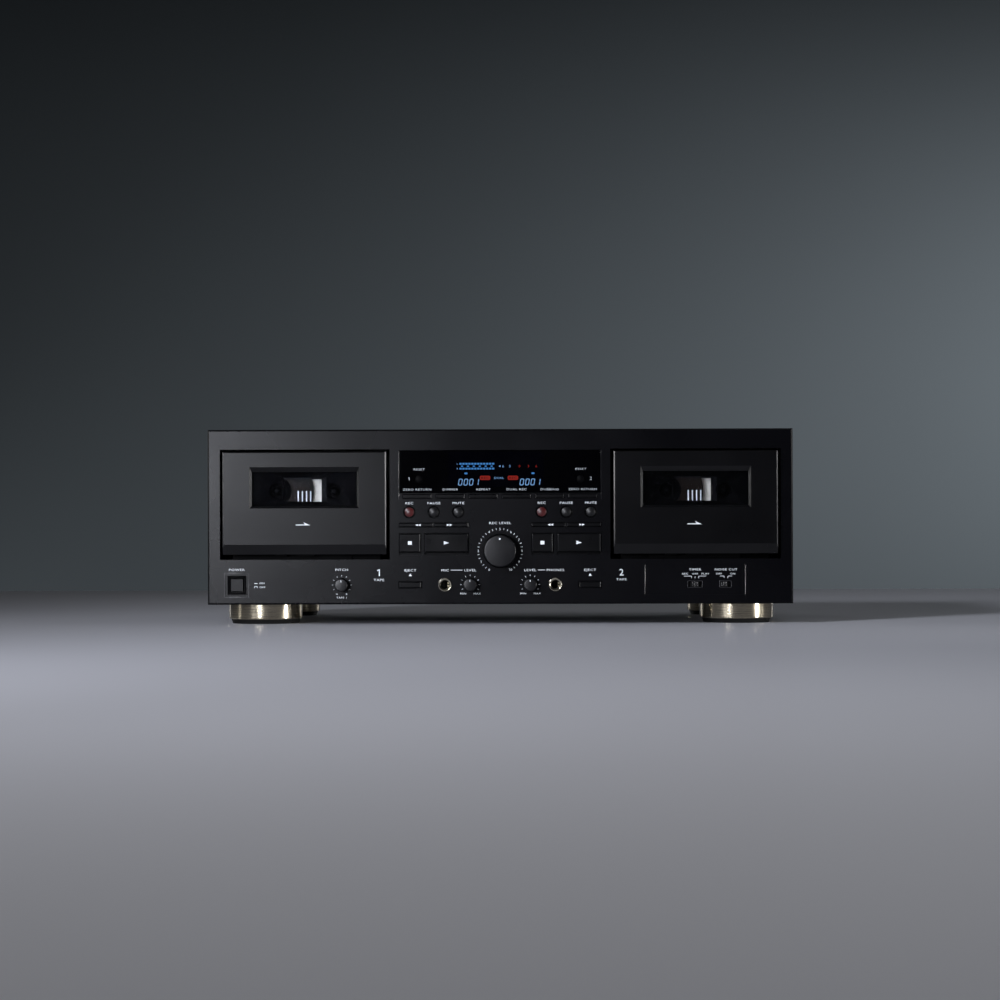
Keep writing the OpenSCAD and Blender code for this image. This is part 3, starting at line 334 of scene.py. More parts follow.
# Metals of the sockets and screws: turned brass in nickel, sprung bronze in tin, rolled steel in black
# zinc.
NICKEL = Finish("nickel_plated_brass_turned", "#a9a496", "#c2bcab", 0.22, 0.05, metallic=1.0, mark_mm=0.6,
                depth_mm=0.003, tone_mm=4)
CONTACT = Finish("tinned_bronze_spring_rolled", "#a19880", "#b7ad92", 0.3, 0.05, metallic=1.0, mark_mm=0.6,
                 tone_mm=3)
SCREW = Finish("black_zinc_steel_rolled", "#101012", "#1b1b1e", 0.38, 0.06, metallic=0.6, mark_mm=0.7,
               depth_mm=0.005, tone_mm=3)
# Mouldings of the holders and spindles: acetal, waxy and dark.
HOLDER = Finish("black_acetal_channel_moulded", "#0b0b0c", "#121214", 0.45, depth_mm=0.005, tone_mm=20)
SPINDLE = Finish("black_acetal_spindle_moulded", "#030304", "#050506", 0.5, specular=0.03, tone_mm=6)
# White screen ink, laid on in one pass: even and nearly matt. On the display it is printed thin and grey.
INK = Finish("white_screen_ink", "#dde2e8", "#e9eef4", 0.6, mark_mm=0.4, tone_mm=4)
GREY_INK = Finish("grey_screen_ink", "#aeb3b9", "#bac0c6", 0.6, mark_mm=0.4, tone_mm=4)
# The cassettes: polystyrene and acetal mouldings, smooth and dark behind the windows, and a pale paper
# sheet.
SHELL = Finish("black_polystyrene_moulded", "#010102", "#030304", 0.4, specular=0.02, depth_mm=0.006,
               tone_mm=18)
HUB = Finish("black_acetal_hub_moulded", "#020203", "#040405", 0.55, specular=0.02, tone_mm=8)
LINER = Finish("white_slip_sheet_calendered", "#f2ebde", "#faf4e8", 0.5, mark_mm=1.2, depth_mm=0.01,
               tone_mm=10)
RIM = Finish("grey_polystyrene_moulded", "#0f0f11", "#17171a", 0.45, specular=0.04, depth_mm=0.005,
             tone_mm=8)
# Edges of wound tape: hundreds of turns 0.02 mm thick, drawn as rings 0.7 mm apart.
TAPE = Finish("brown_oxide_tape_wound", "#120e0c", "#1c1613", 0.36, 0.05, specular=0.06, lay=Lay.RINGS,
              mark_mm=0.7, depth_mm=0.01, tone_mm=6)
# Nylon mouldings of the rear sockets: red and white collars, black blocks.
SOCKET_RED = Finish("red_nylon_moulded", "#8e1512", "#a01a16", 0.4, mark_mm=0.6, tone_mm=4)
SOCKET_WHITE = Finish("white_nylon_moulded", "#cfcdc6", "#dcdad3", 0.4, mark_mm=0.6, tone_mm=4)
SOCKET_BLACK = Finish("black_nylon_moulded", "#0d0d0e", "#161618", 0.46, depth_mm=0.006, tone_mm=9)
# The set: a lacquered board with a faint reflection, and a matt paper wall.
FLOOR = Finish("pale_grey_lacquered_board", "#d6d7df", "#dadbe3", 0.4, 0.01, specular=0.1, mark_mm=4,
               depth_mm=0.0005, tone_mm=900)
WALL = Finish("grey_paper_backdrop", "#50575c", "#545b60", 0.9, 0.02, specular=0.2, mark_mm=5,
              depth_mm=0.01, tone_mm=500)


@dataclass(frozen=True)
class Box:
    """A CAD node's box at rest, in millimetres."""

    low: Vector
    high: Vector

    @classmethod
    def of(cls, node: str) -> "Box":
        """Returns the box of a CAD node."""
        low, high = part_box(node)
        return cls(low / MM, high / MM)

    @property
    def x(self) -> float:
        """Middle across the front."""
        return (self.low.x + self.high.x) / 2

    @property
    def z(self) -> float:
        """Middle height."""
        return (self.low.z + self.high.z) / 2

    @property
    def front(self) -> float:
        """Y of the foremost face."""
        return self.low.y


def panel_face() -> float:
    """Returns Y of the front panel's face."""
    return Box.of("front_panel").front


def circle(x: float, z: float, radius: float, steps: int = 64) -> list[Point]:
    """Returns the points of an upright circle by its middle and radius."""
    turns = (2 * math.pi * i / steps for i in range(steps))
    return [(x + radius * math.cos(a), z + radius * math.sin(a)) for a in turns]


def rounded(x0: float, z0: float, x1: float, z1: float, radius: float, steps: int = 6) -> list[Point]:
    """Returns an upright rectangle with rounded corners.

    Args:
        x0: left side.
        z0: lower side.
        x1: right side.
        z1: upper side.
        radius: radius of the corners.
        steps: points on each corner, less one.

    Returns:
        Points in order round the outline.
    """
    corners = ((x1 - radius, z1 - radius), (x0 + radius, z1 - radius), (x0 + radius, z0 + radius),
               (x1 - radius, z0 + radius))
    points = []
    for quarter, (x, z) in enumerate(corners):
        for i in range(steps + 1):
            turn = (quarter + i / steps) * math.pi / 2
            points.append((x + radius * math.cos(turn), z + radius * math.sin(turn)))
    return points


def curve_mesh(curve: bpy.types.Curve) -> bpy.types.Mesh:
    """Turns a filled curve into a mesh and removes the curve.

    Args:
        curve: a filled 2-D curve or a line of text.

    Returns:
        A mesh in the curve's own plane, with its doubled points joined.
    """
    holder = bpy.data.objects.new(curve.name, curve)
    mesh = bpy.data.meshes.new_from_object(holder)
    bpy.data.objects.remove(holder)
    bpy.data.curves.remove(curve)
    shape = bmesh.new()
    shape.from_mesh(mesh)
    bmesh.ops.remove_doubles(shape, verts=shape.verts, dist=SAME_POINT)
    shape.to_mesh(mesh)
    shape.free()
    return mesh


class Solid:
    """Closed shapes gathered in the shared frame, and made into one piece."""

    smooth_degrees = 35.0
    edge_steps = 1
    corner_steps = 3
    rib_steps = 8
    rib_end = 0.2

    def __init__(self) -> None:
        """Starts with no shape."""
        self.shape = bmesh.new()

    def points(self, places: Iterable[Place]) -> list[bmesh.types.BMVert]:
        """Adds points, and returns them."""
        return [self.shape.verts.new((x * MM, y * MM, z * MM)) for x, y, z in places]

    def band(self, one: Sequence[bmesh.types.BMVert], two: Sequence[bmesh.types.BMVert]) -> None:
        """Joins two closed rings of points by faces.

        Args:
            one: a ring, or a single point.
            two: the next ring, or a single point.
        """
        count = max(len(one), len(two))
        for j in range(count if count > 1 else 0):
            corners = [one[(j - 1) % len(one)], one[j % len(one)], two[j % len(two)], two[(j - 1) % len(two)]]
            self.shape.faces.new(list(dict.fromkeys(corners)))

    def prism(self, outline: Outline, y0: float, y1: float) -> None:
        """Adds a closed prism with an upright outline.

        Args:
            outline: points in X and Z.
            y0: one end.
            y1: the other end.
        """
        near, far = (self.points((x, y, z) for x, z in outline) for y in (y0, y1))
        self.shape.faces.new(near)
        self.shape.faces.new(far[::-1])
        self.band(near, far)

    def turned(self, profile: Iterable[Point], place: Place, steps: int = 64) -> None:
        """Adds a body turned about a level line from front to back.

        Args:
            profile: a closed outline as radius and Y; points of radius 0 lie on the axis.
            place: a point on the axis, from which the profile's Y is measured.
            steps: points in a ring.
        """
        x, y, z = place
        rings = []
        for radius, along in profile:
            spots = circle(x, z, radius, steps) if radius > 0 else [(x, z)]
            rings.append(self.points((u, y + along, v) for u, v in spots))
        for one, two in zip(rings, rings[1:] + rings[:1]):
            self.band(one, two)

    def rib(self, x: float, z0: float, z1: float, width: float, y0: float, y1: float) -> None:
        """Adds an upright half-round rib with sloping ends.

        Args:
            x: its middle across the front.
            z0: its lower end.
            z1: its upper end.
            width: its width at the foot.
            y0: its foot.
            y1: its crest.
        """
        half = width / 2
        turns = [math.pi * i / self.rib_steps for i in range(self.rib_steps + 1)]
        loops = [self.points((x + half * math.cos(a), y0 + (y1 - y0) * share * math.sin(a), z) for a in turns)
                 for z, share in ((z0, self.rib_end), (z0 + half, 1.0), (z1 - half, 1.0), (z1, self.rib_end))]
        for one, two in zip(loops, loops[1:]):
            self.band(one, two)
        self.shape.faces.new(loops[0])
        self.shape.faces.new(loops[-1][::-1])

    def join(self, mesh: bpy.types.Mesh, place: Matrix) -> None:
        """Adds a mesh moved to its place, and removes the mesh.

        Args:
            mesh: the mesh.
            place: the move.
        """
        mesh.transform(place)
        self.shape.from_mesh(mesh)
        bpy.data.meshes.remove(mesh)

    def plate(
        self, outline: Outline, holes: Iterable[Outline], y0: float, y1: float, edge: float = 0.0,
    ) -> None:
        """Adds an upright plate with holes and softened edges.

        Args:
            outline: the outer points in X and Z.
            holes: the outlines of its holes.
            y0: the front face.
            y1: the back face.
            edge: radius of the edges.
        """
        curve = bpy.data.curves.new("plate", "CURVE")
        curve.dimensions = "2D"
        curve.fill_mode = "BOTH"
        curve.extrude = ((y1 - y0) / 2 - edge) * MM
        curve.bevel_depth = edge * MM
        curve.bevel_resolution = self.edge_steps
        curve.offset = -edge * MM
        for loop in (outline, *holes):
            spline = curve.splines.new("POLY")
            spline.points.add(len(loop) - 1)
            for point, (x, z) in zip(spline.points, loop):
                point.co = (x * MM, z * MM, 0.0, 1.0)
            spline.use_cyclic_u = True
        place = Matrix.Translation((0, (y0 + y1) / 2 * MM, 0)) @ Matrix.Rotation(math.pi / 2, 4, "X")
        self.join(curve_mesh(curve), place)

    def border(
        self, low: Point, high: Point, rims: Iterable[Point], y0: float, y1: float, edge: float = 0.0,
    ) -> None:
        """Adds a flat frame round a rectangle.

        Args:
            low: the rectangle's lower left corner.
            high: its upper right corner.
            rims: how far out the frame's outer and inner lines lie, each with the radius of its corners.
            y0: the front face.
            y1: the back face.
            edge: radius of the edges.
        """
        (x0, z0), (x1, z1) = low, high
        outer, inner = (rounded(x0 - more, z0 - more, x1 + more, z1 + more, radius, self.corner_steps)
                        for more, radius in rims)
        self.plate(outer, [inner], y0, y1, edge)

    def piece(
        self, name: str, finish: Surface, body: str, slot: str = "", stands_for: Sequence[str] = (),
        at: Vector | None = None,
    ) -> bpy.types.Object:
        """Makes a dressed piece, with smooth curves, that moves with a CAD body.

        Args:
            name: the piece's name.
            finish: its material.
            body: the CAD body that carries it.
            slot: not used.
            stands_for: CAD nodes that it replaces.
            at: the place of its own point, where the shape was gathered round that point.

        Returns:
            The new object.
        """
        bmesh.ops.recalc_face_normals(self.shape, faces=self.shape.faces)
        mesh = bpy.data.meshes.new(name)
        self.shape.to_mesh(mesh)
        self.shape.free()
        mesh.shade_smooth()
        mesh.set_sharp_from_angle(angle=math.radians(self.smooth_degrees))
        mesh.materials.clear()
        mesh.materials.append(finish.material())
        piece = bpy.data.objects.new(name, mesh)
        if at is not None:
            piece.location = at * MM
        bpy.context.scene.collection.objects.link(piece)
        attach(piece, body)
        if stands_for:
            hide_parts(*stands_for)
        log.info("%s in %s, on %s", name, finish.name, body)
        return piece


def dress(node: str, *finishes: Surface, choose: Callable[[Vector, Vector], int] | None = None) -> None:
    """Gives a CAD node its finish, or more than one by where its faces lie and how they look.

    Args:
        node: the node's name.
        finishes: its materials.
        choose: takes a face's middle in millimetres and its outward direction, and gives its material's
            number.
    """
    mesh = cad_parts[node].data
    mesh.materials.clear()
    for finish in finishes:
        mesh.materials.append(finish.material())
    for face in mesh.polygons if choose else ():
        face.material_index = int(choose(face.center / MM, face.normal))
    log.info("%s in %s", node, finishes[0].name)


def dress_key(node: str) -> None:
    """Gives a square key its satin face, and its upright edges the lighter grey that is a painted highlight.
    """
    dress(node, KEY, EDGE_HIGHLIGHT, choose=lambda _, look: abs(look.x) > LEANS and look.y < -LEANS)


def add_wells(
    name: str, nodes: Iterable[str], width: float, gap: float = 0.1, rise: float = 0.06, sink: float = 0.1,
    corner: float = 0.3,
) -> None:
    """Adds dark rims round square keys in the panel's holes: painted shade, standing for the shadow in the
    gaps round the keys.

    Args:
        name: the piece's name.
        nodes: the keys' nodes.
        width: width of a rim.
        gap: room between a rim and its key.
        rise: how far a rim stands off the panel.
        sink: how far it goes into the panel.
        corner: radius of its corners.
    """
    solid, face = Solid(), panel_face()
    for node in nodes:
        spots = [v.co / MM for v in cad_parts[node].data.vertices if v.co.y / MM < face - sink]
        low, high = ((end(p.x for p in spots), end(p.z for p in spots)) for end in (min, max))
        solid.border(low, high, ((gap + width, corner), (gap, corner)), face - rise, face + sink)
    solid.piece(name, MATT_BLACK_AND_SHADE, BASE, PANEL_SLOT)


class Look(Enum):
    """Which way a printed face looks: the sign that turns its own left to right into X."""

    FRONT = 1.0
    REAR = -1.0


class Align(Enum):
    """Where a word lies about its place, in Blender's words."""

    LEFT = "LEFT"
    CENTRE = "CENTER"


class Artwork(Solid):
    """Flat shapes and words gathered on one upright face."""

    cap_share = 0.73
    letter_space = 1.12
    letter_steps = 2
    flag_reach = 0.3
    flag_up = 0.27

    def __init__(self, face: float, look: Look = Look.FRONT, thick: float = 0.05) -> None:
        """Starts an empty sheet.

        Args:
            face: Y of the surface that carries it.
            look: which way that surface looks.
            thick: thickness of the ink.
        """
        super().__init__()
        self.look = look
        self.front = face - look.value * thick
        self.back = face + look.value * thick

    def polygon(self, outline: Outline) -> None:
        """Adds a filled outline in X and Z."""
        self.prism(outline, self.front, self.back)

    def bar(self, x: float, z: float, width: float, height: float) -> None:
        """Adds a filled rectangle by its middle and size."""
        u, v = width / 2, height / 2
        self.polygon([(x - u, z - v), (x + u, z - v), (x + u, z + v), (x - u, z + v)])

    def line(self, start: Point, end: Point, width: float) -> None:
        """Adds a straight stroke.

        Args:
            start: one end.
            end: the other end.
            width: its width.
        """
        along = Vector((end[0] - start[0], end[1] - start[1])).normalized() * width / 2
        ends = ((start, 1), (start, -1), (end, -1), (end, 1))
        self.polygon([(x - side * along.y, z + side * along.x) for (x, z), side in ends])

    def triangle(self, x: float, z: float, reach: float, height: float) -> None:
        """Adds a solid arrow head by its middle; it points left where reach is below 0."""
        self.polygon([(x - reach / 2, z - height / 2), (x + reach / 2, z), (x - reach / 2, z + height / 2)])

    def one(self, x: float, z: float, cap: float, stroke: float) -> None:
        """Adds a figure 1 with a flag, which the plain letters lack.

        Args:
            x: middle of its stem.
            z: its middle height.
            cap: its height.
            stroke: width of its strokes.
        """
        self.bar(x, z, stroke, cap)
        flag = (x - self.flag_reach * cap, z + self.flag_up * cap)
        self.line((x, z + cap / 2 - stroke / 2), flag, stroke)

    def words(
        self, text: str, x: float, z: float, cap: float, wide: float = 1.34, align: Align = Align.CENTRE,
    ) -> None:
        """Adds a line of lettering.

        Args:
            text: what it says.
            x: its place across the face.
            z: height of the letters' middle.
            cap: height of a capital.
            wide: how much wider than the plain letters.
            align: where it lies about x.
        """
        curve = bpy.data.curves.new("words", "FONT")
        curve.body = text
        curve.size = cap / self.cap_share * MM
        curve.align_x = align.value
        curve.space_character = self.letter_space
        curve.resolution_u = self.letter_steps
        curve.extrude = abs(self.back - self.front) / 2 * MM
        place = Matrix.Translation((x * MM, (self.front + self.back) / 2 * MM, (z - cap / 2) * MM))
        turn = Matrix.Rotation(math.pi / 2, 4, "X")
        if self.look is Look.REAR:
            turn = Matrix.Rotation(math.pi, 4, "Z") @ turn
        self.join(curve_mesh(curve), place @ turn @ Matrix.Diagonal((wide, 1.0, 1.0, 1.0)))


@dataclass(frozen=True)
class Lamp:
    """A soft rectangular lamp: place, aim and size in metres, power, angle of the beam and tint."""

    name: str
    place: Place
    aim: Place
    size: Point
    watts: float
    spread: float
    tint: str = "#ffffff"

    def build(self, scene: bpy.types.Scene) -> None:
        """Adds the lamp to the scene.

        Args:
            scene: the scene.
        """
        lamp = bpy.data.lights.new(self.name, "AREA")
        lamp.shape = "RECTANGLE"
        lamp.size, lamp.size_y = self.size
        lamp.energy = self.watts
        lamp.color = linear(self.tint)[:3]
        lamp.spread = math.radians(self.spread)
        stand = bpy.data.objects.new(self.name, lamp)
        stand.location = self.place
        stand.rotation_euler = (Vector(self.aim) - stand.location).to_track_quat("-Z", "Y").to_euler()
        scene.collection.objects.link(stand)
        log.info("%s lit", self.name)


@dataclass
class Studio:
    """Floor, backdrop, lamps and camera, in metres."""

    camera_place: Place = (0.026, -2.329, 0.079)
    camera_degrees: Place = (90.347, 0.166, 0.677)
    lens_mm: float = 106.6
    sensor_mm: float = 36.0
    half_width: float = 8.0
    table_near: float = -8.0
    table_far: float = 0.93
    table_edge: float = 0.008
    table_t: float = 0.04
    edge_steps: int = 8
    wall_y: float = 3.2
    wall_low: float = -2.0
    wall_top: float = 6.0
    world: str = "#aab0b8"
    world_strength: float = 0.02
    lamps: tuple[Lamp, ...] = (
        Lamp("key_softbox", (-1.7, -2.4, 1.29), (0.25, -0.3, 0.02), (0.5, 0.5), 3.5, 41.0, COOL),
        Lamp("floor_softbox", (0.0, -1.65, 1.7), (0.0, -1.45, 0.0), (2.0, 0.8), 2.8, 70.0),
        Lamp("sheen_softbox", (-0.51, -1.43, 0.18), (-0.15, -0.13, 0.1), (0.3, 0.22), 0.6, 40.0, COOL),
        Lamp("top_softbox", (0.2, 0.4, 2.2), (0.2, 0.35, 0.0), (1.5, 0.8), 0.72, 110.0),
        Lamp("side_strip", (1.25, -0.6, 0.05), (-0.05, -0.15, 0.03), (0.05, 0.09), 0.36, 32.0),
        Lamp("left_edge_strip", (-1.2, -0.17, 0.2), (0.0, -0.13, 0.09), (0.08, 0.16), 0.12, 60.0),
        Lamp("right_edge_strip", (1.2, -0.17, 0.2), (0.0, -0.13, 0.09), (0.08, 0.16), 0.12, 60.0),
        Lamp("rear_left_softbox", (-1.25, 2.0, 0.38), (0.0, 0.14, 0.08), (0.7, 0.5), 0.2, 26.0),
        Lamp("rear_right_softbox", (1.25, 2.0, 0.38), (0.0, 0.14, 0.08), (0.7, 0.5), 0.2, 26.0),
        Lamp("wall_wash", (3.21, 2.4, 0.795), (0.576, 3.2, 0.183), (0.68, 0.68), 15.5, 42.0),
        Lamp("wall_low_wash", (-1.9, 2.5, -0.4), (-0.75, 3.2, -0.2), (0.3, 0.3), 0.6, 56.0),
    )

    def build(self) -> None:
        """Builds the whole set."""
        scene = bpy.context.scene
        scene.view_settings.view_transform = "Standard"
        self.add_set()
        self.add_camera(scene)
        self.add_world(scene)
        for lamp in self.lamps:
            lamp.build(scene)

    def add_set(self) -> None:
        """Adds the table top, with its far edge rounded, and the wall far behind it."""
        start, radius = self.table_far - self.table_edge, self.table_edge
        turns = (math.pi / 2 * i / self.edge_steps for i in range(self.edge_steps + 1))
        edge = [(start + radius * math.sin(a), radius * (math.cos(a) - 1)) for a in turns]
        table = [(self.table_near, 0.0), *edge, (self.table_far, -self.table_t)]
        self.add_sheet("studio_floor", table, FLOOR)
        self.add_sheet("studio_backdrop", [(self.wall_y, self.wall_low), (self.wall_y, self.wall_top)], WALL)

    def add_sheet(self, name: str, path: Outline, finish: Finish) -> None:
        """Adds a wide sheet that follows a path in Y and Z.

        Args:
            name: the sheet's name.
            path: its points.
            finish: its material.
        """
        mesh = bpy.data.meshes.new(name)
        verts = [(side * self.half_width, y, z) for y, z in path for side in (-1, 1)]
        faces = [(2 * i, 2 * i + 1, 2 * i + 3, 2 * i + 2) for i in range(len(path) - 1)]
        mesh.from_pydata(verts, [], faces)
        mesh.shade_smooth()
        mesh.materials.append(finish.material())
        sheet = bpy.data.objects.new(name, mesh)
        bpy.context.scene.collection.objects.link(sheet)
        log.info("%s set up", name)

    def add_camera(self, scene: bpy.types.Scene) -> None:
        """Adds the camera and makes it the scene's own.

        Args:
            scene: the scene.
        """
        lens = bpy.data.cameras.new("studio_camera")
        lens.lens = self.lens_mm
        lens.sensor_width = self.sensor_mm
        camera = bpy.data.objects.new("studio_camera", lens)
        camera.location = self.camera_place
        camera.rotation_euler = tuple(math.radians(turn) for turn in self.camera_degrees)
        scene.collection.objects.link(camera)
        scene.camera = camera

    def add_world(self, scene: bpy.types.Scene) -> None:
        """Adds the room's faint light.

        Args:
            scene: the scene.
        """
        world = bpy.data.worlds.new("studio_room")
        world.use_nodes = True
        background = world.node_tree.nodes["Background"]
        background.inputs["Color"].default_value = linear(self.world)
        background.inputs["Strength"].default_value = self.world_strength
        scene.world = world


@dataclass
class Case:
    """Front panel with its trim, cover, rear panel, chassis, feet and screws.

    underside is the direction in Z below which a face of the chassis is coated. power_frames holds the
    frames round the power button: piece, half widths of its outer and inner lines, front and back as measured
    from the panel's face, and finish. ribs holds a rib's place across, its lower end and its upper end, and
    slots a slot's place across and its width.
    """

    underside: float = -0.9
    rise: float = 0.25
    soft: float = 0.1
    power_corner: float = 0.4
    power_frames: tuple[tuple[str, float, float, float, float, Finish], ...] = (
        ("power_frame", 9.25, 8.75, -0.25, 0.2, EDGE_HIGHLIGHT),
        # The well and the ring are matt black standing for the shadow round the sunken power button: painted
        # shade.
        ("power_well_shade", 6.95, 6.65, 0.9, 2.6, MATT_BLACK_AND_SHADE),
        ("power_ring_shade", 6.65, 5.25, 2.1, 2.6, MATT_BLACK_AND_SHADE))
    rib_w: float = 0.6
    rib_sink: float = 0.4
    ribs: tuple[Place, ...] = (
        (-75.25, 92.6, 129.6), (75.25, 92.6, 129.6), (107.5, 22.0, 44.0), (181.9, 22.0, 44.0))
    slots: Outline = ((144.7, 10.4), (167.3, 8.3))
    slot_h: float = 4.5
    slot_z: float = 29.5
    slot_rims: Outline = ((0.45, 0.75), (0.0, 0.3))
    slot_sink: float = 0.05
    recess_depth: float = 0.5
    disc_r: float = 2.1
    disc_steps: int = 40
    disc_t: float = 0.15
    disc_edge: float = 0.05
    cross_reach: float = 1.5
    cross_w: float = 0.55
    rear_screws_x: Row = (-150.0, 0.0, 150.0)
    rear_screws_yz: Outline = ((136.5, 136.8), (135.7, 22.0))
    side_screws: tuple[Place, ...] = ((217.0, -69.0, 27.0), (217.0, 84.0, 27.0))

    def build(self) -> None:
        """Dresses the case's nodes and adds its trim."""
        dress("front_panel", PANEL)
        dress("top_cover", COVER)
        dress("rear_panel", COVER)
        dress("chassis", ZINC, COVER, choose=lambda _, look: look.z < self.underside)
        dress("foot_rings", FOOT)
        dress("foot_pads", RUBBER)
        dress("case_screws", SCREW)
        self.add_power_frames()
        self.add_ribs()
        self.add_slot_frames()
        self.add_cross_recesses()

    def add_power_frames(self) -> None:
        """Adds the raised line round the power button's recess, in the lighter edge grey that is a painted
        highlight, and the black well and ring round the button, which are painted shade.
        """
        button = Box.of("power_button")
        face, middle = panel_face(), (button.x, button.z)
        for name, outer, inner, front, back, finish in self.power_frames:
            solid = Solid()
            rims = ((outer, self.power_corner), (inner, self.power_corner))
            solid.border(middle, middle, rims, face + front, face + back, self.soft)
            solid.piece(name, finish, BASE, PANEL_SLOT)

    def add_ribs(self) -> None:
        """Adds the fine upright ribs at the ends of the display and of the switch recess, in the lighter edge
        grey that is a painted highlight.
        """
        solid, face = Solid(), panel_face()
        for x, low, high in self.ribs:
            solid.rib(x, low, high, self.rib_w, face + self.rib_sink, face - self.rise)
        solid.piece("panel_ribs", EDGE_HIGHLIGHT, BASE, PANEL_SLOT)

    def add_slot_frames(self) -> None:
        """Adds the thin frames round the slide switches' slots, in the lighter edge grey that is a painted
        highlight.
        """
        solid, face = Solid(), panel_face() + self.recess_depth
        half_h = self.slot_h / 2
        for x, width in self.slots:
            low, high = (x - width / 2, self.slot_z - half_h), (x + width / 2, self.slot_z + half_h)
            solid.border(low, high, self.slot_rims, face - self.rise, face + self.slot_sink, self.soft)
        solid.piece("switch_slot_frames", EDGE_HIGHLIGHT, BASE, PANEL_SLOT)

    def add_cross_recesses(self) -> None:
        """Adds the cross-recessed faces of the cover's screws."""
        r, w = self.cross_reach, self.cross_w / 2
        cross, arm = [], [(w, w), (r, w), (r, -w)]
        for _ in range(4):
            cross += arm
            arm = [(z, -x) for x, z in arm]
        screws = [(x, y, z, 180) for x in self.rear_screws_x for y, z in self.rear_screws_yz]
        screws += [(side * x, y, z, side * 90) for side in (-1, 1) for x, y, z in self.side_screws]
        solid = Solid()
        for *place, turn in screws:
            disc = Solid()
            rim = circle(0, 0, self.disc_r, self.disc_steps)
            disc.plate(rim, [cross], -self.disc_t, self.disc_t, self.disc_edge)
            mesh = bpy.data.meshes.new("screw_face")
            disc.shape.to_mesh(mesh)
            disc.shape.free()
            turned = Matrix.Rotation(math.radians(turn), 4, "Z")
            solid.join(mesh, Matrix.Translation(Vector(place) * MM) @ turned)
        solid.piece("screw_faces", SCREW, BASE, "screw_black")


@dataclass
class Works:
    """Transports, boards and drives behind the panel."""

    board_top: float = 25.6
    board_front: float = -117.5
    # Head carriage faces above this height take nickel; those below, the heads' fronts among them, take the
    # near-black steel as painted shade in the gap under the doors.
    head_low: float = 61.0
    belt_back: float = -84.0

    def dress(self) -> None:
        """Gives the inner nodes their finishes."""
        dress("transport_frames", FRAME)
        dress("main_board", BOARD, PARTS, choose=lambda middle, _: middle.z > self.board_top)
        dress("control_board", PARTS, BOARD, choose=lambda middle, _: middle.y > self.board_front)
        dress("belt_drives", RUBBER, TURNED_STEEL, choose=lambda middle, _: middle.y > self.belt_back)
        for deck in DECKS:
            for side in ("supply", "take_up"):
                dress(f"{side}_spindle_{deck}", SPINDLE)
            dress(f"flywheel_{deck}", TURNED_STEEL)
            dress(f"head_carriage_{deck}", FRAME, NICKEL, choose=lambda middle, _: middle.z > self.head_low)
            dress(f"pinch_roller_{deck}", RUBBER)


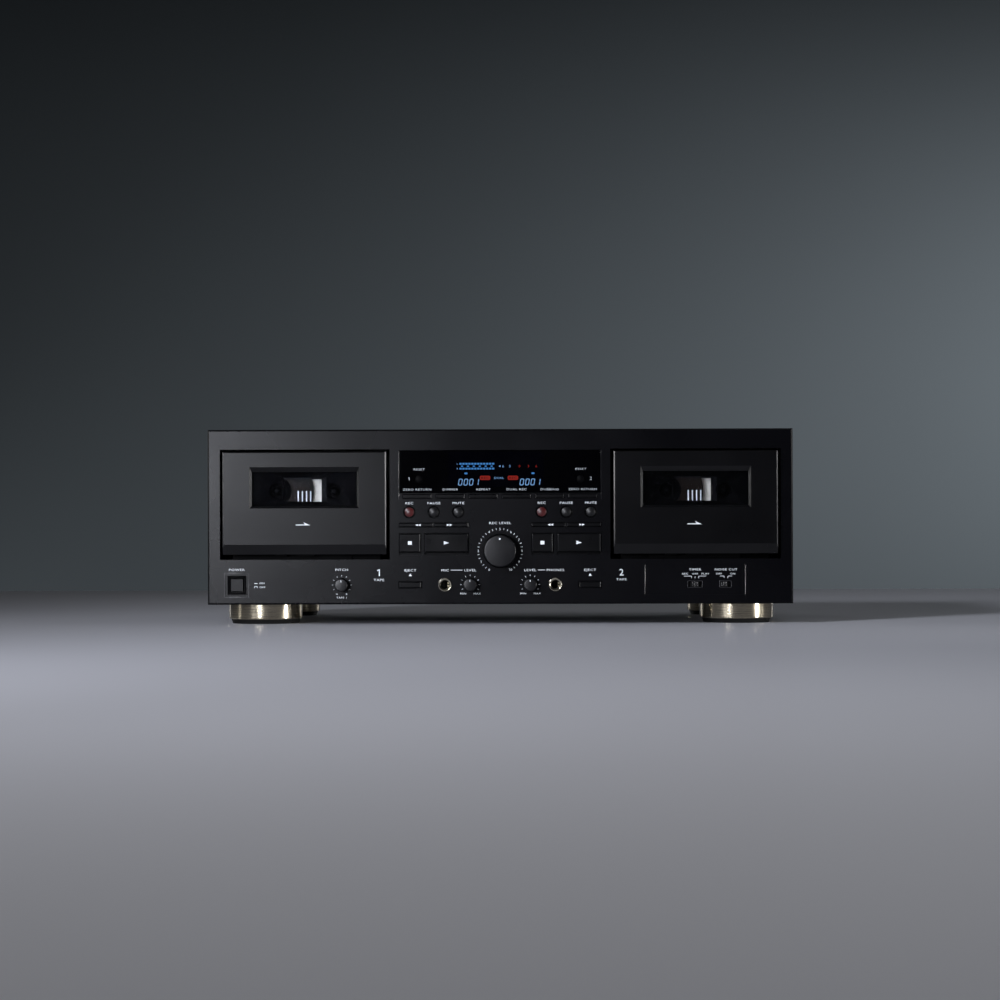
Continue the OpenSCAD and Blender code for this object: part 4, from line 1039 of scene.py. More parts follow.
@dataclass
class Sockets:
    """Front jacks, rear line sockets and the mains cord's gland, in place of their plain CAD solid.

    The profiles are radius and Y from the face that carries the socket, and so are the ends in Y, apart from
    line_ends, which are from the rear panel's inside.
    """

    jack_x: float = 41.0
    jack_z: float = 29.5
    nut: Outline = (
        (5.1, 0.3), (5.1, -0.7), (4.9, -1.1), (4.5, -1.3), (4.1, -1.2), (3.3, -0.3), (3.3, 0.3))
    barrel: Outline = ((3.25, 0.3), (3.25, 27.0), (0.0, 28.0), (0.0, 29.0), (4.3, 29.0), (4.3, 0.3))
    block_half: float = 6.0
    block_corner: float = 1.0
    block_bore: float = 4.2
    block_ends: Point = (4.2, 31.0)
    block_edge: float = 0.3
    leaf: Outline = ((1.9, -0.6), (3.3, -0.6), (3.3, 0.6), (1.7, 0.4))
    leaf_up: float = 1.0
    leaf_ends: Point = (1.5, 12.0)
    rear_inside: float = 133.2
    rear_face: float = 134.0
    line_x: Outline = ((111.0, 129.0), (57.0, 75.0))
    line_z: Point = (54.0, 72.0)
    line_margin: float = 8.0
    line_corner: float = 1.5
    line_bore: float = 3.7
    line_ends: Point = (-12.0, -0.05)
    line_edge: float = 0.4
    sleeve: Outline = (
        (4.15, 0.05), (4.15, 8.5), (3.9, 9.0), (3.3, 9.0), (3.2, 8.6), (3.2, -8.0), (3.6, -8.0), (3.6, 0.05))
    collar: Outline = (
        (3.15, 4.5), (1.9, 4.8), (1.65, 4.6), (1.65, -7.0), (0.0, -7.2), (0.0, -8.0), (3.15, -8.0))
    gland_x: float = -168.0
    gland_z: float = 45.0
    gland: Outline = (
        (8.0, 0.02), (8.0, 1.2), (7.2, 2.0), (4.6, 2.0), (3.6, 1.2), (3.6, -7.0), (6.0, -7.0), (6.0, 0.02))
    cap: float = 2.4
    small: float = 2.0
    title_up: float = 16.5
    way_up: float = 11.5
    side_out: float = 9.5
    rule_down: float = 11.0
    rule_up: float = 20.0
    rule_more: float = 16.0
    rule_w: float = 0.4

    def build(self) -> None:
        """Builds all the sockets and prints their legends."""
        for side, name in ((-1, "mic"), (1, "phones")):
            self.add_jack(name, side * self.jack_x)
        self.add_line_sockets()
        gland = Solid()
        gland.turned(self.gland, (self.gland_x, self.rear_face, self.gland_z))
        self.place(gland, "cord_gland", SOCKET_BLACK)
        self.print_legends()

    def place(self, solid: Solid, name: str, finish: Finish) -> None:
        """Makes one of the pieces that stand for the CAD's sockets."""
        solid.piece(name, finish, BASE, SOCKET_SLOT, ["sockets"])

    def print_legends(self) -> None:
        """Prints the plain words beside the rear sockets."""
        art = Artwork(self.rear_face, Look.REAR)
        low, high = self.line_z
        for tape, (near, far) in zip(DECKS, self.line_x):
            middle = (near + far) / 2
            art.words(f"TAPE {tape}", middle, high + self.title_up, self.cap)
            for x, word in ((far, "IN"), (near, "OUT")):
                art.words(word, x, high + self.way_up, self.small)
            for z, word in ((low, "R"), (high, "L")):
                art.words(word, far + self.side_out, z, self.cap)
            for z in (low - self.rule_down, high + self.rule_up):
                art.bar(middle, z, far - near + self.rule_more, self.rule_w)
        art.piece("rear_legends", INK, BASE)

    def add_jack(self, name: str, x: float) -> None:
        """Adds a jack: its ring nut, and the sleeve and body behind it.

        Args:
            name: which jack.
            x: its place across the front.
        """
        y, z, half = panel_face(), self.jack_z, self.block_half
        ring, body, leaves = Solid(), Solid(), Solid()
        ring.turned(self.nut, (x, y, z))
        self.place(ring, f"{name}_jack_ring", NICKEL)
        body.turned(self.barrel, (x, y, z))
        block = rounded(x - half, z - half, x + half, z + half, self.block_corner)
        body.plate(block, [circle(x, z, self.block_bore)], *(y + end for end in self.block_ends),
                   self.block_edge)
        self.place(body, f"{name}_jack_body", SOCKET_BLACK)
        for up in (-self.leaf_up, self.leaf_up):
            leaves.prism([(x + u, z + up + v) for u, v in self.leaf], *(y + end for end in self.leaf_ends))
        self.place(leaves, f"{name}_jack_contacts", CONTACT)

    def add_line_sockets(self) -> None:
        """Adds the rear line sockets: black blocks, coloured collars, metal sleeves."""
        blocks, sleeves, more = Solid(), Solid(), self.line_margin
        collars = {z: Solid() for z in self.line_z}
        low, high = self.line_z
        for near, far in self.line_x:
            spots = [(x, z) for x in (near, far) for z in self.line_z]
            blocks.plate(rounded(near - more, low - more, far + more, high + more, self.line_corner),
                         [circle(x, z, self.line_bore) for x, z in spots],
                         *(self.rear_inside + end for end in self.line_ends), self.line_edge)
            for x, z in spots:
                sleeves.turned(self.sleeve, (x, self.rear_face, z))
                collars[z].turned(self.collar, (x, self.rear_face, z))
        self.place(blocks, "line_socket_blocks", SOCKET_BLACK)
        self.place(sleeves, "line_socket_sleeves", NICKEL)
        for z, finish, side in zip(self.line_z, (SOCKET_RED, SOCKET_WHITE), ("right", "left")):
            self.place(collars[z], f"line_socket_collars_{side}", finish)


@dataclass
class PanelPrint:
    """White legends screened on the front panel.

    row_print holds, for each control of the lower row, its words and its bars: a word with its shift across
    from the control, its height over the row's middle and the height of a capital, and a bar with both shifts
    and both sizes. Where no control is named the shift is from the panel's middle.
    """

    cap: float = 1.75
    switch_cap: float = 1.65
    small: float = 1.3
    level_words: RowWords = (("LEVEL", 0.0, 10.8, cap), ("MIN", -5.2, -6.6, small), ("MAX", 5.2, -6.6, small))
    row_print: tuple[tuple[str, RowWords, tuple[Row, ...]], ...] = (
        ("",
         (("TAPE", -90.1, 3.7, cap), ("TAPE", 90.1, 3.7, cap), ("MIC", -41.0, 10.8, cap),
          ("PHONES", 41.0, 10.8, cap)),
         ((-32.4, 10.8, 8.8, 0.35), (30.7, 10.8, 5.4, 0.35))),
        ("power_button",
         (("POWER", 0.0, 11.5, cap),),
         ((14.2, 1.2, 2.4, 0.45), (14.2, -0.95, 2.4, 0.4), (13.2, -1.5, 0.4, 1.3), (15.2, -1.5, 0.4, 1.3))),
        ("pitch_knob",
         (("PITCH", 0.0, 11.3, cap), ("TAPE 1", 0.0, -9.4, small)),
         ((-3.6, -6.8, 1.3, 0.35), (3.6, -6.8, 1.3, 0.35), (3.6, -6.8, 0.35, 1.3))),
        ("mic_level_knob", level_words, ()),
        ("phones_level_knob", level_words, ()),
        ("timer_switch",
         (("TIMER", 0.0, 10.9, switch_cap), ("REC", -7.4, 7.7, small), ("OFF", 0.0, 7.7, small),
          ("PLAY", 7.6, 7.7, small)),
         ((-2.6, 5.0, 0.3, 1.4), (0.0, 5.0, 0.3, 1.4), (2.6, 5.0, 0.3, 1.4), (-5.46, 5.9, 5.72, 0.3),
          (5.46, 5.9, 5.72, 0.3))),
        ("noise_reduction_switch",
         (("NOISE CUT", 1.4, 10.9, switch_cap), ("OFF", -3.8, 7.7, small), ("ON", 6.4, 7.7, small)),
         ((0.0, 5.0, 0.3, 1.4), (2.8, 5.0, 0.3, 1.4), (-1.54, 5.9, 3.08, 0.3), (4.34, 5.9, 3.08, 0.3))))
    state_x: float = 16.8
    states: tuple[tuple[str, float], ...] = (("ON", 1.5), ("OFF", -1.5))
    number_x: Point = (-89.8, 90.1)
    number_up: float = 9.1
    number_h: float = 5.2
    number_stroke: float = 0.8
    tick_w: float = 0.25
    tick_ends: Point = (6.3, 7.4)
    tick_swing: int = 120
    tick_step: int = 30
    title_z: float = 75.3
    dial_r: float = 16.2
    dial_swing: float = 150.0
    dial_steps: int = 10
    dial_parts: int = 3
    mark_w: float = 0.32
    mark_ends: Point = (15.6, 17.0)
    figure_h: float = 1.8
    figure_wide: float = 1.05
    ten_shifts: Point = (-0.9, 0.3)
    button_words: tuple[tuple[str, str], ...] = (("record", "REC"), ("pause", "PAUSE"), ("rec_mute", "MUTE"))
    button_up: float = 6.7
    eject_up: float = 10.8
    eject_sign: Outline = ((-1.2, 6.4), (1.2, 6.4), (0.0, 8.3))

    def build(self) -> None:
        """Prints all the legends in one sheet."""
        art = Artwork(panel_face())
        self.print_row(art, Box.of("pitch_knob").z)
        for knob in SMALL_KNOBS:
            self.print_ticks(art, knob)
        self.print_dial(art)
        for deck in DECKS:
            self.print_keys(art, deck)
        art.piece("panel_legends", INK, BASE)

    def print_row(self, art: Artwork, row: float) -> None:
        """Prints the lower row: power, pitch, deck numbers, mic, phones and the slide switches.

        Args:
            art: the sheet.
            row: height of the row's controls.
        """
        for node, words, bars in self.row_print:
            start = Box.of(node).x if node else 0.0
            for word, across, up, cap in words:
                art.words(word, start + across, row + up, cap)
            for across, up, width, height in bars:
                art.bar(start + across, row + up, width, height)
        for word, up in self.states:
            art.words(word, Box.of("power_button").x + self.state_x, row + up, self.small, align=Align.LEFT)
        one, two = self.number_x
        art.one(one, row + self.number_up, self.number_h, self.number_stroke)
        art.words("2", two, row + self.number_up, self.number_h, wide=1.0)

    def print_ticks(self, art: Artwork, knob: str) -> None:
        """Prints the marks round a small knob.

        Args:
            art: the sheet.
            knob: the knob's node.
        """
        box = Box.of(knob)
        for degrees in range(-self.tick_swing, self.tick_swing + 1, self.tick_step):
            turn = math.radians(degrees)
            inner, outer = ((box.x + r * math.sin(turn), box.z + r * math.cos(turn)) for r in self.tick_ends)
            art.line(inner, outer, self.tick_w)

    def print_dial(self, art: Artwork) -> None:
        """Prints the figures and marks of the record level dial.

        Args:
            art: the sheet.
        """
        knob = Box.of("rec_level_knob")
        art.words("REC LEVEL", knob.x, self.title_z, self.cap)
        marks = self.dial_steps * self.dial_parts
        for step in range(marks + 1):
            turn = math.radians(self.dial_swing * (2 * step / marks - 1))
            (x, z), inner, outer = ((knob.x + r * math.sin(turn), knob.z + r * math.cos(turn))
                                    for r in (self.dial_r, *self.mark_ends))
            number = step // self.dial_parts
            if step % self.dial_parts:
                art.line(inner, outer, self.mark_w)
                continue
            one, last = self.ten_shifts if number == self.dial_steps else (0.0, 0.0)
            if number in (1, self.dial_steps):
                art.one(x + one, z, self.figure_h, self.mark_w)
            if number != 1:
                art.words(str(number)[-1], x + last, z, self.figure_h, wide=self.figure_wide)

    def print_keys(self, art: Artwork, deck: int) -> None:
        """Prints the words over one deck's round buttons and its eject key.

        Args:
            art: the sheet.
            deck: 1 or 2.
        """
        for node, word in self.button_words:
            button = Box.of(f"{node}_button_{deck}")
            art.words(word, button.x, button.z + self.button_up, self.cap)
        eject = Box.of(f"eject_button_{deck}")
        art.words("EJECT", eject.x, eject.z + self.eject_up, self.cap)
        art.polygon([(eject.x + u, eject.z + v) for u, v in self.eject_sign])


@dataclass
class Display:
    """Display window with its lit tube, and the legends printed on it.

    blue_words and red_words hold a word, its place, the height of a capital and how wide its letters are.
    tube, lamp_box and badge_box hold left, lower, right and upper sides, and the last two a corner's radius.
    meter_bar and scale_bar hold the first bar's place across, the pitch, and a bar's width and height.
    pointer holds a triangle's place, reach and height.
    """

    cap: float = 1.6
    legend_z: float = 100.3
    reset_up: float = 7.4
    number_up: float = 0.4
    number_out: Point = (-7.4, 7.6)
    number_h: Point = (2.3, 2.4)
    number_stroke: float = 0.42
    tube: Row = (-38.4, 102.2, 32.5, 128.3)
    tube_corner: float = 1.0
    tube_t: float = 0.02
    slant: float = 0.16
    digit_w: float = 2.4
    digit_h: float = 4.4
    digit_pitch: float = 4.05
    digit_gap: float = 0.16
    digit_x: Point = (-30.9, 14.8)
    digit_z: float = 103.5
    stroke: float = 0.58
    counter: str = "0001"
    blue_words: Words = (
        ("L", -31.6, 119.3, 1.2, 1.0), ("R", -31.6, 115.7, 1.2, 1.0), ("6", 2.4, 117.5, 1.9, 1.1),
        ("3", 7.4, 117.5, 1.9, 1.1), ("DUAL", -0.7, 108.8, 1.5, 1.3))
    red_words: Words = (
        ("0", 14.6, 117.5, 1.9, 1.1), ("3", 21.2, 117.5, 1.9, 1.1), ("6", 27.0, 117.5, 1.9, 1.1))
    pointer: Row = (-0.2, 117.5, -1.4, 1.5)
    meter_rows: Row = (119.3, 115.7)
    meter_bars: int = 12
    meter_bar: Row = (-29.2, 2.2, 1.7, 1.3)
    scale_z: float = 117.5
    scale_bars: int = 6
    scale_bar: Row = (-28.1, 4.4, 1.5, 0.9)
    lamp_x: Point = (-25.2, 24.6)
    lamp_box: Row = (-1.1, 111.5, 1.1, 112.8, 0.4)
    badge_x: Point = (-11.0, 9.7)
    badge_box: Row = (-3.9, 107.2, 3.9, 110.4, 1.1)
    badge_z: float = 108.8
    badge_cap: float = 1.7
    badge_t: float = 0.07

    def build(self) -> None:
        """Builds the tube behind the window, its lit figures and the printed words."""
        dress("display_window", DISPLAY)
        face = Box.of("display_window").front
        tube = Artwork(face, thick=self.tube_t)
        tube.polygon(rounded(*self.tube, self.tube_corner))
        tube.piece("display_tube", TUBE, BASE)
        self.print_words(face)
        blue, bars, red, dark = Artwork(face), Artwork(face), Artwork(face), Artwork(face, thick=self.badge_t)
        for art, words in ((blue, self.blue_words), (red, self.red_words)):
            for word, x, z, cap, wide in words:
                art.words(word, x, z, cap, wide)
        blue.triangle(*self.pointer)
        self.draw_meter(bars)
        for x in self.digit_x:
            for i, figure in enumerate(self.counter):
                self.draw_figure(blue, figure, x + i * self.digit_pitch, self.digit_z)
        for art, places, (x0, z0, x1, z1, corner) in ((bars, self.lamp_x, self.lamp_box),
                                                      (red, self.badge_x, self.badge_box)):
            for x in places:
                art.polygon(rounded(x + x0, z0, x + x1, z1, corner))
        for x in self.badge_x:
            dark.words("REC", x, self.badge_z, self.badge_cap)
        blue.piece("display_figures", BLUE, BASE)
        bars.piece("display_bars", BAR, BASE)
        red.piece("display_red_figures", RED, BASE)
        dark.piece("display_badge_words", MATT_BLACK_AND_SHADE, BASE)

    def print_words(self, face: float) -> None:
        """Prints the words on the window.

        Args:
            face: Y of the window's face.
        """
        art = Artwork(face)
        for node, word in SLIM_KEYS.items():
            art.words(word, Box.of(node).x, self.legend_z, self.cap)
        one, two = (Box.of(f"counter_reset_button_{deck}") for deck in DECKS)
        for button in (one, two):
            art.words("RESET", button.x, button.z + self.reset_up, self.cap)
        left, right = self.number_out
        one_h, two_h = self.number_h
        art.one(one.x + left, one.z + self.number_up, one_h, self.number_stroke)
        art.words("2", two.x + right, two.z + self.number_up, two_h, wide=1.0)
        art.piece("display_legends", GREY_INK, BASE)

    def draw_meter(self, bars: Artwork) -> None:
        """Draws the two rows of the level meter and the scale between them.

        Args:
            bars: sheet of the blue bars.
        """
        rows = [(z, self.meter_bars, self.meter_bar) for z in self.meter_rows]
        rows.append((self.scale_z, self.scale_bars, self.scale_bar))
        for z, count, (start, pitch, width, height) in rows:
            for i in range(count):
                bars.bar(start + pitch * i, z, width, height)

    def draw_figure(self, art: Artwork, figure: str, x: float, z: float) -> None:
        """Draws a seven-bar figure that leans to the right.

        Args:
            art: the sheet.
            figure: 0 or 1.
            x: its left side at the foot.
            z: its foot.
        """
        w, h, gap = self.digit_w, self.digit_h, self.digit_gap
        right = [((w, h - gap), (w, h / 2 + gap)), ((w, h / 2 - gap), (w, gap))]
        left = [((0, v0), (0, v1)) for (_, v0), (_, v1) in right]
        level = [((gap, v), (w - gap, v)) for v in (0, h)]
        for ends in right if figure == "1" else right + left + level:
            start, end = ((x + u + self.slant * v, z + v) for u, v in ends)
            art.line(start, end, self.stroke)


@dataclass
class Cassette:
    """A loaded tape cassette behind a door: a shell with a window, two hubs and the wound tape.

    sheet holds the slip sheet's left, lower, right and upper sides, from the middle between the hubs.
    hub_ends and tape_ends are measured from the inner faces of the shell, and rim_ends from the front one.
    """

    width: float = 100.4
    height: float = 63.8
    corner: float = 2.2
    corner_steps: int = 6
    foot_z: float = 65.0
    front: float = -125.35
    back: float = -116.65
    wall: float = 1.6
    soft: float = 0.3
    lap: float = 0.1
    nose_front: float = -127.0
    nose_h: float = 17.0
    nose_half: float = 36.0
    nose_slope: float = 3.0
    notch_half: float = 28.0
    notch_h: float = 15.0
    rim_half: float = 31.0
    rim_w: float = 2.0
    hub_pitch: float = 42.5
    hub_up: float = 34.5
    supply_hub_r: float = 11.0
    take_up_hub_r: float = 8.3
    hole_r: float = 5.6
    hole_steps: int = 48
    bore_r: float = 5.2
    tooth_r: float = 4.6
    bore_steps: int = 72
    tooth_steps: int = 12
    tooth_points: int = 2
    hub_ends: Point = (0.4, -0.5)
    hub_edge: float = 0.2
    tape_ends: Point = (0.7, -0.6)
    tape_gap: float = 0.02
    tape_steps: int = 128
    capstan_x: float = 18.5
    capstan_up: float = 9.5
    capstan_hole: float = 3.2
    capstan_steps: int = 32
    window_up: float = 1.0
    window_half_w: float = 16.0
    window_half_h: float = 9.0
    window_corner: float = 0.8
    window_steps: int = 3
    full_r: float = 27.45
    few_r: float = 8.9
    sheet: Row = (-14.0, -10.0, 11.9, 12.0)
    sheet_corner: float = 1.0
    sheet_t: float = 0.25
    rim_right: float = 13.0
    rim_more: float = 1.0
    rim_ends: Point = (0.02, 0.3)
    rim_drop: float = 1.4
    mark_count: int = 4
    mark_pitch: float = 3.1
    mark_shift: float = -0.5
    mark_down: float = 4.0
    mark_size: Point = (0.85, 7.8)

    def build(self, deck: int, body: str, x: float) -> None:
        """Builds the cassette's pieces.

        Args:
            deck: 1 or 2.
            body: the door that carries it.
            x: its middle across the front.
        """
        hub_z = self.foot_z + self.hub_up
        hubs = [x + side * self.hub_pitch / 2 for side in (-1, 1)]
        self.add_shell(deck, body, x, hubs, hub_z)
        self.add_window(deck, body, x, hub_z)
        reels = (("supply", self.supply_hub_r, self.full_r), ("take_up", self.take_up_hub_r, self.few_r))
        for (side, hub_r, tape_r), hub_x in zip(reels, hubs):
            self.add_reel(f"{side}_{deck}", body, Vector((hub_x, 0.0, hub_z)), hub_r, tape_r)

    def foot(self, half: float) -> list[Point]:
        """Returns the foot of the shell, notched for heads and roller, to half on each side of its middle."""
        side, up = self.notch_half, self.notch_h
        return [(-half, 0.0), (-side, 0.0), (-side, up), (side, up), (side, 0.0), (half, 0.0)]

    def add_shell(self, deck: int, body: str, x: float, hubs: Sequence[float], hub_z: float) -> None:
        """Adds the moulded shell: two faces, the rim between them and the thick nose.

        Args:
            deck: 1 or 2.
            body: the door that carries it.
            x: its middle across the front.
            hubs: the hubs' places across the front.
            hub_z: the hubs' height.
        """
        solid = Solid()
        z, half, top = self.foot_z, self.width / 2, self.height
        corners = rounded(x - half, z, x + half, z + top, self.corner, self.corner_steps)
        upper = corners[:len(corners) // 2]
        outline = upper + [(x + u, z + v) for u, v in self.foot(half)]
        holes = [circle(u, hub_z, self.hole_r, self.hole_steps) for u in hubs]
        mid, half_w, half_h = hub_z + self.window_up, self.window_half_w, self.window_half_h
        window = rounded(x - half_w, mid - half_h, x + half_w, mid + half_h, self.window_corner,
                         self.window_steps)
        capstans = [circle(x + s * self.capstan_x, z + self.capstan_up, self.capstan_hole, self.capstan_steps)
                    for s in (-1, 1)]
        solid.plate(outline, holes + [window], self.front, self.front + self.wall, self.soft)
        solid.plate(outline, holes, self.back - self.wall, self.back, self.soft)
        crest = [(x + s * (self.nose_half - self.nose_slope), z + self.nose_h) for s in (1, -1)]
        nose = [(x - self.nose_half, z), (x + self.nose_half, z), *crest]
        solid.plate(nose, capstans, self.nose_front, self.front - self.soft, self.soft)
        bridge = [(x + u, z + v) for u, v in self.foot(self.nose_half)] + crest
        solid.plate(bridge, [], self.front - self.soft - self.lap, self.front + self.lap)
        out, high, gap, w = half - self.lap, top - self.lap, self.rim_half, self.rim_w
        right = [(half - w, top - w), (half - w, w), (gap, w), (gap, 0.0), (out, 0.0), (out, high)]
        rim = [(-u, v) for u, v in right[4::-1]] + right + [(-out, high)]
        solid.prism([(x + u, z + v) for u, v in rim], self.front + self.wall - self.lap,
                    self.back - self.wall + self.lap)
        solid.piece(f"cassette_shell_{deck}", SHELL, body)

    def add_window(self, deck: int, body: str, x: float, hub_z: float) -> None:
        """Adds the white slip sheet behind the tape, and the rim and the marks of the shell's window.

        Args:
            deck: 1 or 2.
            body: the door that carries it.
            x: its middle across the front.
            hub_z: the hubs' height.
        """
        left, low, right, high = self.sheet
        back, front = self.back - self.wall, self.front + self.wall
        sheet = Solid()
        sheet.plate(rounded(x + left, hub_z + low, x + right, hub_z + high, self.sheet_corner), [],
                    back - self.lap - self.sheet_t, back - self.lap)
        sheet.piece(f"cassette_slip_sheet_{deck}", LINER, body)
        mid, half_w, half_h = hub_z + self.window_up, self.window_half_w, self.window_half_h
        corner, steps = self.window_corner, self.window_steps
        top = mid + half_h - self.rim_drop
        hole = rounded(x - half_w, mid - half_h, x + self.rim_right, top, corner, steps)
        half_w, half_h = half_w + self.rim_more, half_h + self.rim_more
        rim = Solid()
        rim.plate(rounded(x - half_w, mid - half_h, x + half_w, mid + half_h, corner, steps), [hole],
                  *(front + end for end in self.rim_ends))
        rim.piece(f"cassette_window_rim_{deck}", RIM, body)
        marks = Artwork(front + self.lap)
        for i in range(self.mark_count):
            across = (i - (self.mark_count - 1) / 2) * self.mark_pitch + self.mark_shift
            marks.bar(x + across, hub_z - self.mark_down, *self.mark_size)
        marks.piece(f"cassette_window_marks_{deck}", INK, body)

    def add_reel(self, name: str, body: str, place: Vector, hub_r: float, tape_r: float) -> None:
        """Adds a toothed hub and the tape wound on it, both made round the hub's own middle.

        Args:
            name: which reel.
            body: the door that carries it.
            place: the hub's middle.
            hub_r: radius of the hub.
            tape_r: radius of the wound tape.
        """
        near, far = self.front + self.wall, self.back - self.wall
        wide, slim = (circle(0, 0, radius, self.bore_steps) for radius in (self.bore_r, self.tooth_r))
        bore = [slim[i] if i % self.tooth_steps < self.tooth_points else wide[i]
                for i in range(self.bore_steps)]
        hub = Solid()
        inset, outset = self.hub_ends
        hub.plate(circle(0, 0, hub_r), [bore], near + inset, far + outset, self.hub_edge)
        hub.piece(f"cassette_hub_{name}", HUB, body, at=place)
        tape = Solid()
        inset, outset = self.tape_ends
        inner, near, far = hub_r + self.tape_gap, near + inset, far + outset
        tape.turned([(inner, near), (tape_r, near), (tape_r, far), (inner, far)], (0, 0, 0), self.tape_steps)
        tape.piece(f"cassette_tape_{name}", TAPE, body, at=place)


class Transport(Enum):
    """The keys that carry a transport symbol, by the first words of their nodes' names."""

    REWIND = "rewind"
    FAST_FORWARD = "fast_forward"
    PLAY = "play"
    STOP = "stop"


@dataclass
class Deck:
    """One deck's door with its window and cassette, and its keys.

    Each group of keys that shares a piece of dark rims, which are painted shade in their gaps, is listed with
    the width of those rims.
    """

    number: int
    band_top: float = 60.5
    frame_low: float = 84.0
    frame_top: float = 120.0
    frame_half: float = 44.0
    wells: tuple[tuple[tuple[str, ...], float], ...] = (
        (("rewind", "fast_forward"), 0.35), (("stop", "play", "eject"), 0.7))
    round_keys: tuple[tuple[str, Finish], ...] = (
        ("counter_reset", MATT_BLACK_AND_SHADE), ("pause", BUTTON), ("rec_mute", BUTTON), ("record", KEY_RED))
    # Profile of the dark collar round a round button, which is painted shade.
    collar: Outline = ((3.75, 0.1), (3.75, -0.1), (4.5, -0.2), (4.7, -0.05), (4.7, 0.1))
    arrow: Outline = ((-5.2, -1.1), (5.6, -1.1), (0.4, 1.3), (1.6, -0.45), (-5.2, -0.45))
    arrow_z: float = 75.0
    arrow_shift: float = -1.1
    stop_size: Point = (2.9, 2.6)
    play_size: Point = (4.0, 2.7)
    wind_size: Point = (2.0, 1.7)
    wind_pair: float = 1.05
    wind_shift: float = 1.36

    def build(self) -> None:
        """Dresses the deck and adds its cassette and its symbols."""
        n = self.number
        door = f"door_{n}"
        dress(door, DOOR, CHAMFER, EDGE_HIGHLIGHT, choose=self.choose)
        dress(f"door_window_{n}", WINDOW)
        dress(f"cassette_holder_{n}", HOLDER)
        # Dark rims round each group of keys: painted shade in their gaps.
        for keys, width in self.wells:
            nodes = [f"{key}_button_{n}" for key in keys]
            for node in nodes:
                dress_key(node)
            add_wells(f"{keys[0]}_key_wells_{n}", nodes, width)
        for key, finish in self.round_keys:
            dress(f"{key}_button_{n}", finish)
        box = Box.of(door)
        Cassette().build(n, door, box.x)
        art = Artwork(box.front)
        art.polygon([(box.x + self.arrow_shift + u, self.arrow_z + v) for u, v in self.arrow])
        art.piece(f"{door}_arrow", INK, door)
        self.add_collars()
        for key in Transport:
            self.add_symbol(key)

    def choose(self, middle: Vector, look: Vector) -> int:
        """Picks a door face's finish.

        Args:
            middle: the face's middle.
            look: its outward direction.

        Returns:
            0 for the flat face, 1 for the window's chamfers and the lower band, 2 for the upright edges,
            which take the lighter grey of a painted highlight.
        """
        if look.y < -SQUARE:
            return 0
        across = abs(middle.x - Box.of(f"door_{self.number}").x)
        by_window = self.frame_low < middle.z < self.frame_top and across < self.frame_half
        if middle.z < self.band_top or by_window:
            return 1
        return 2 if abs(look.x) > LEANS and look.y < -LEANS else 0

    def add_collars(self) -> None:
        """Adds dark collars round the deck's three round buttons: painted shade, standing for the shadow in
        the gaps round them.
        """
        solid, face = Solid(), panel_face()
        for key in ("record", "pause", "rec_mute"):
            button = Box.of(f"{key}_button_{self.number}")
            solid.turned(self.collar, (button.x, face, button.z))
        solid.piece(f"button_shade_collars_{self.number}", MATT_BLACK_AND_SHADE, BASE, PANEL_SLOT)

    def add_symbol(self, key: Transport) -> None:
        """Prints a transport symbol on a key.

        Args:
            key: which key.
        """
        node = f"{key.value}_button_{self.number}"
        box = Box.of(node)
        art = Artwork(box.front)
        if key is Transport.STOP:
            art.bar(box.x, box.z, *self.stop_size)
        elif key is Transport.PLAY:
            art.triangle(box.x, box.z, *self.play_size)
        else:
            way = -1 if key is Transport.REWIND else 1
            reach, height = self.wind_size
            for pair in (-self.wind_pair, self.wind_pair):
                art.triangle(box.x - way * self.wind_shift + pair, box.z, way * reach, height)
        art.piece(f"{node}_symbol", INK, node)


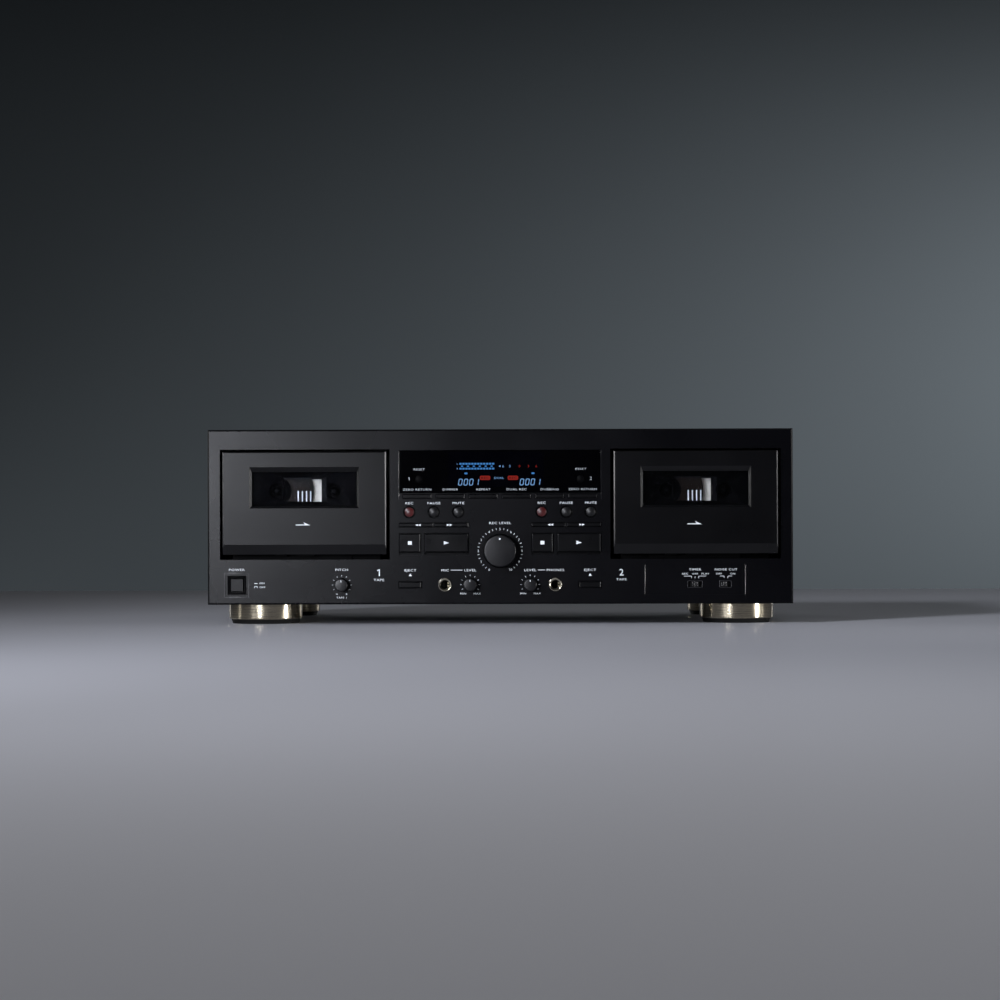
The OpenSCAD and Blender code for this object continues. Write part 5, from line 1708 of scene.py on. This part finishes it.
@dataclass
class Controls:
    """Knobs, slide switches, the power button and the slim keys under the display."""

    dot_r: float = 0.7
    dot_steps: int = 24
    dot_up: float = 8.9
    dot_sink: float = 0.2
    line_ends: Point = (2.2, 3.6)
    line_w: float = 0.4
    line_sink: float = 0.1
    ink_t: float = 0.06
    level_sag: float = 0.35
    small_sag: float = 0.2
    taper: float = 0.92
    rim: float = 0.8
    crown_steps: int = 10
    rim_steps: int = 6
    knob_steps: int = 96
    gap: float = 0.3
    foot_edge: float = 0.4
    shaft_r: float = 3.0
    well_width: float = 0.4
    grip_ribs: int = 4
    grip_pitch: float = 1.2
    grip_half: float = 1.7
    grip_w: float = 0.5
    grip_sink: float = 0.02
    grip_rise: float = 0.3

    def build(self) -> None:
        """Dresses the controls and prints the marks on the knobs."""
        self.add_knob("rec_level_knob", self.level_sag)
        for node in SMALL_KNOBS:
            self.add_knob(node, self.small_sag)
        for node in ("timer_switch", "noise_reduction_switch"):
            dress(node, SLIDER)
            self.add_grip(node)
        dress("power_button", DOOR)
        for node in SLIM_KEYS:
            dress_key(node)
        # Dark rims round the slim keys: painted shade in their gaps.
        add_wells("slim_key_wells", SLIM_KEYS, self.well_width)
        level = Box.of("rec_level_knob")
        art = Artwork(level.front + self.dot_sink, thick=self.ink_t)
        art.polygon(circle(level.x, level.z + self.dot_up, self.dot_r, self.dot_steps))
        art.piece("rec_level_knob_dot", INK, "rec_level_knob")
        for node in SMALL_KNOBS:
            box = Box.of(node)
            art = Artwork(box.front + self.line_sink, thick=self.ink_t)
            start, end = ((box.x, box.z + up) for up in self.line_ends)
            art.line(start, end, self.line_w)
            art.piece(f"{node}_line", INK, node)

    def add_knob(self, node: str, sag: float) -> None:
        """Adds a knob with a crowned face, a rounded rim and a skirt in matt black that is painted shade, in
        place of its flat CAD solid.

        Args:
            node: the knob's node.
            sag: how far the crown falls from its middle to its rim.
        """
        box = Box.of(node)
        foot_r = (box.high.x - box.low.x) / 2
        crown_r = self.taper * foot_r - self.rim
        shares = [i / self.crown_steps for i in range(self.crown_steps + 1)]
        crown = [(crown_r * share, box.front + sag * share ** 2) for share in shares]
        turns = [math.pi / 2 * i / self.rim_steps for i in range(1, self.rim_steps + 1)]
        rim = [(crown_r + self.rim * math.sin(a), box.front + sag + self.rim * (1 - math.cos(a)))
               for a in turns]
        back, end = panel_face() - self.gap, box.high.y
        foot = [(foot_r, back - self.foot_edge), (foot_r - self.foot_edge, back)]
        solid = Solid()
        shaft = [(self.shaft_r, back), (self.shaft_r, end), (0, end)]
        solid.turned([*crown, *rim, *foot, *shaft], (box.x, 0, box.z), self.knob_steps)
        mesh = solid.piece(f"{node}_cap", KNOB, node, "knob_black", [node]).data
        # The skirt and the faces that turn away from the front take the matt black: painted shade round the
        # knob.
        mesh.materials.append(MATT_BLACK_AND_SHADE.material())
        for part in mesh.polygons:
            part.material_index = int(part.normal.y > -LEANS)

    def add_grip(self, node: str) -> None:
        """Adds the fine ribs of a slide switch's grip, in the lighter edge grey that is a painted highlight.

        Args:
            node: the switch's node.
        """
        box = Box.of(node)
        solid = Solid()
        for i in range(self.grip_ribs):
            x = box.x + (i - (self.grip_ribs - 1) / 2) * self.grip_pitch
            solid.rib(x, box.z - self.grip_half, box.z + self.grip_half, self.grip_w,
                      box.front + self.grip_sink, box.front - self.grip_rise)
        solid.piece(f"{node}_grip", EDGE_HIGHLIGHT, node, "slider_black")


def main() -> None:
    """Builds the set and the deck."""
    logging.basicConfig(level=logging.INFO, format="%(name)s: %(message)s")
    Studio().build()
    Case().build()
    Works().dress()
    Sockets().build()
    Display().build()
    PanelPrint().build()
    Controls().build()
    for deck in DECKS:
        Deck(deck).build()


if __name__ == "__main__":
    main()
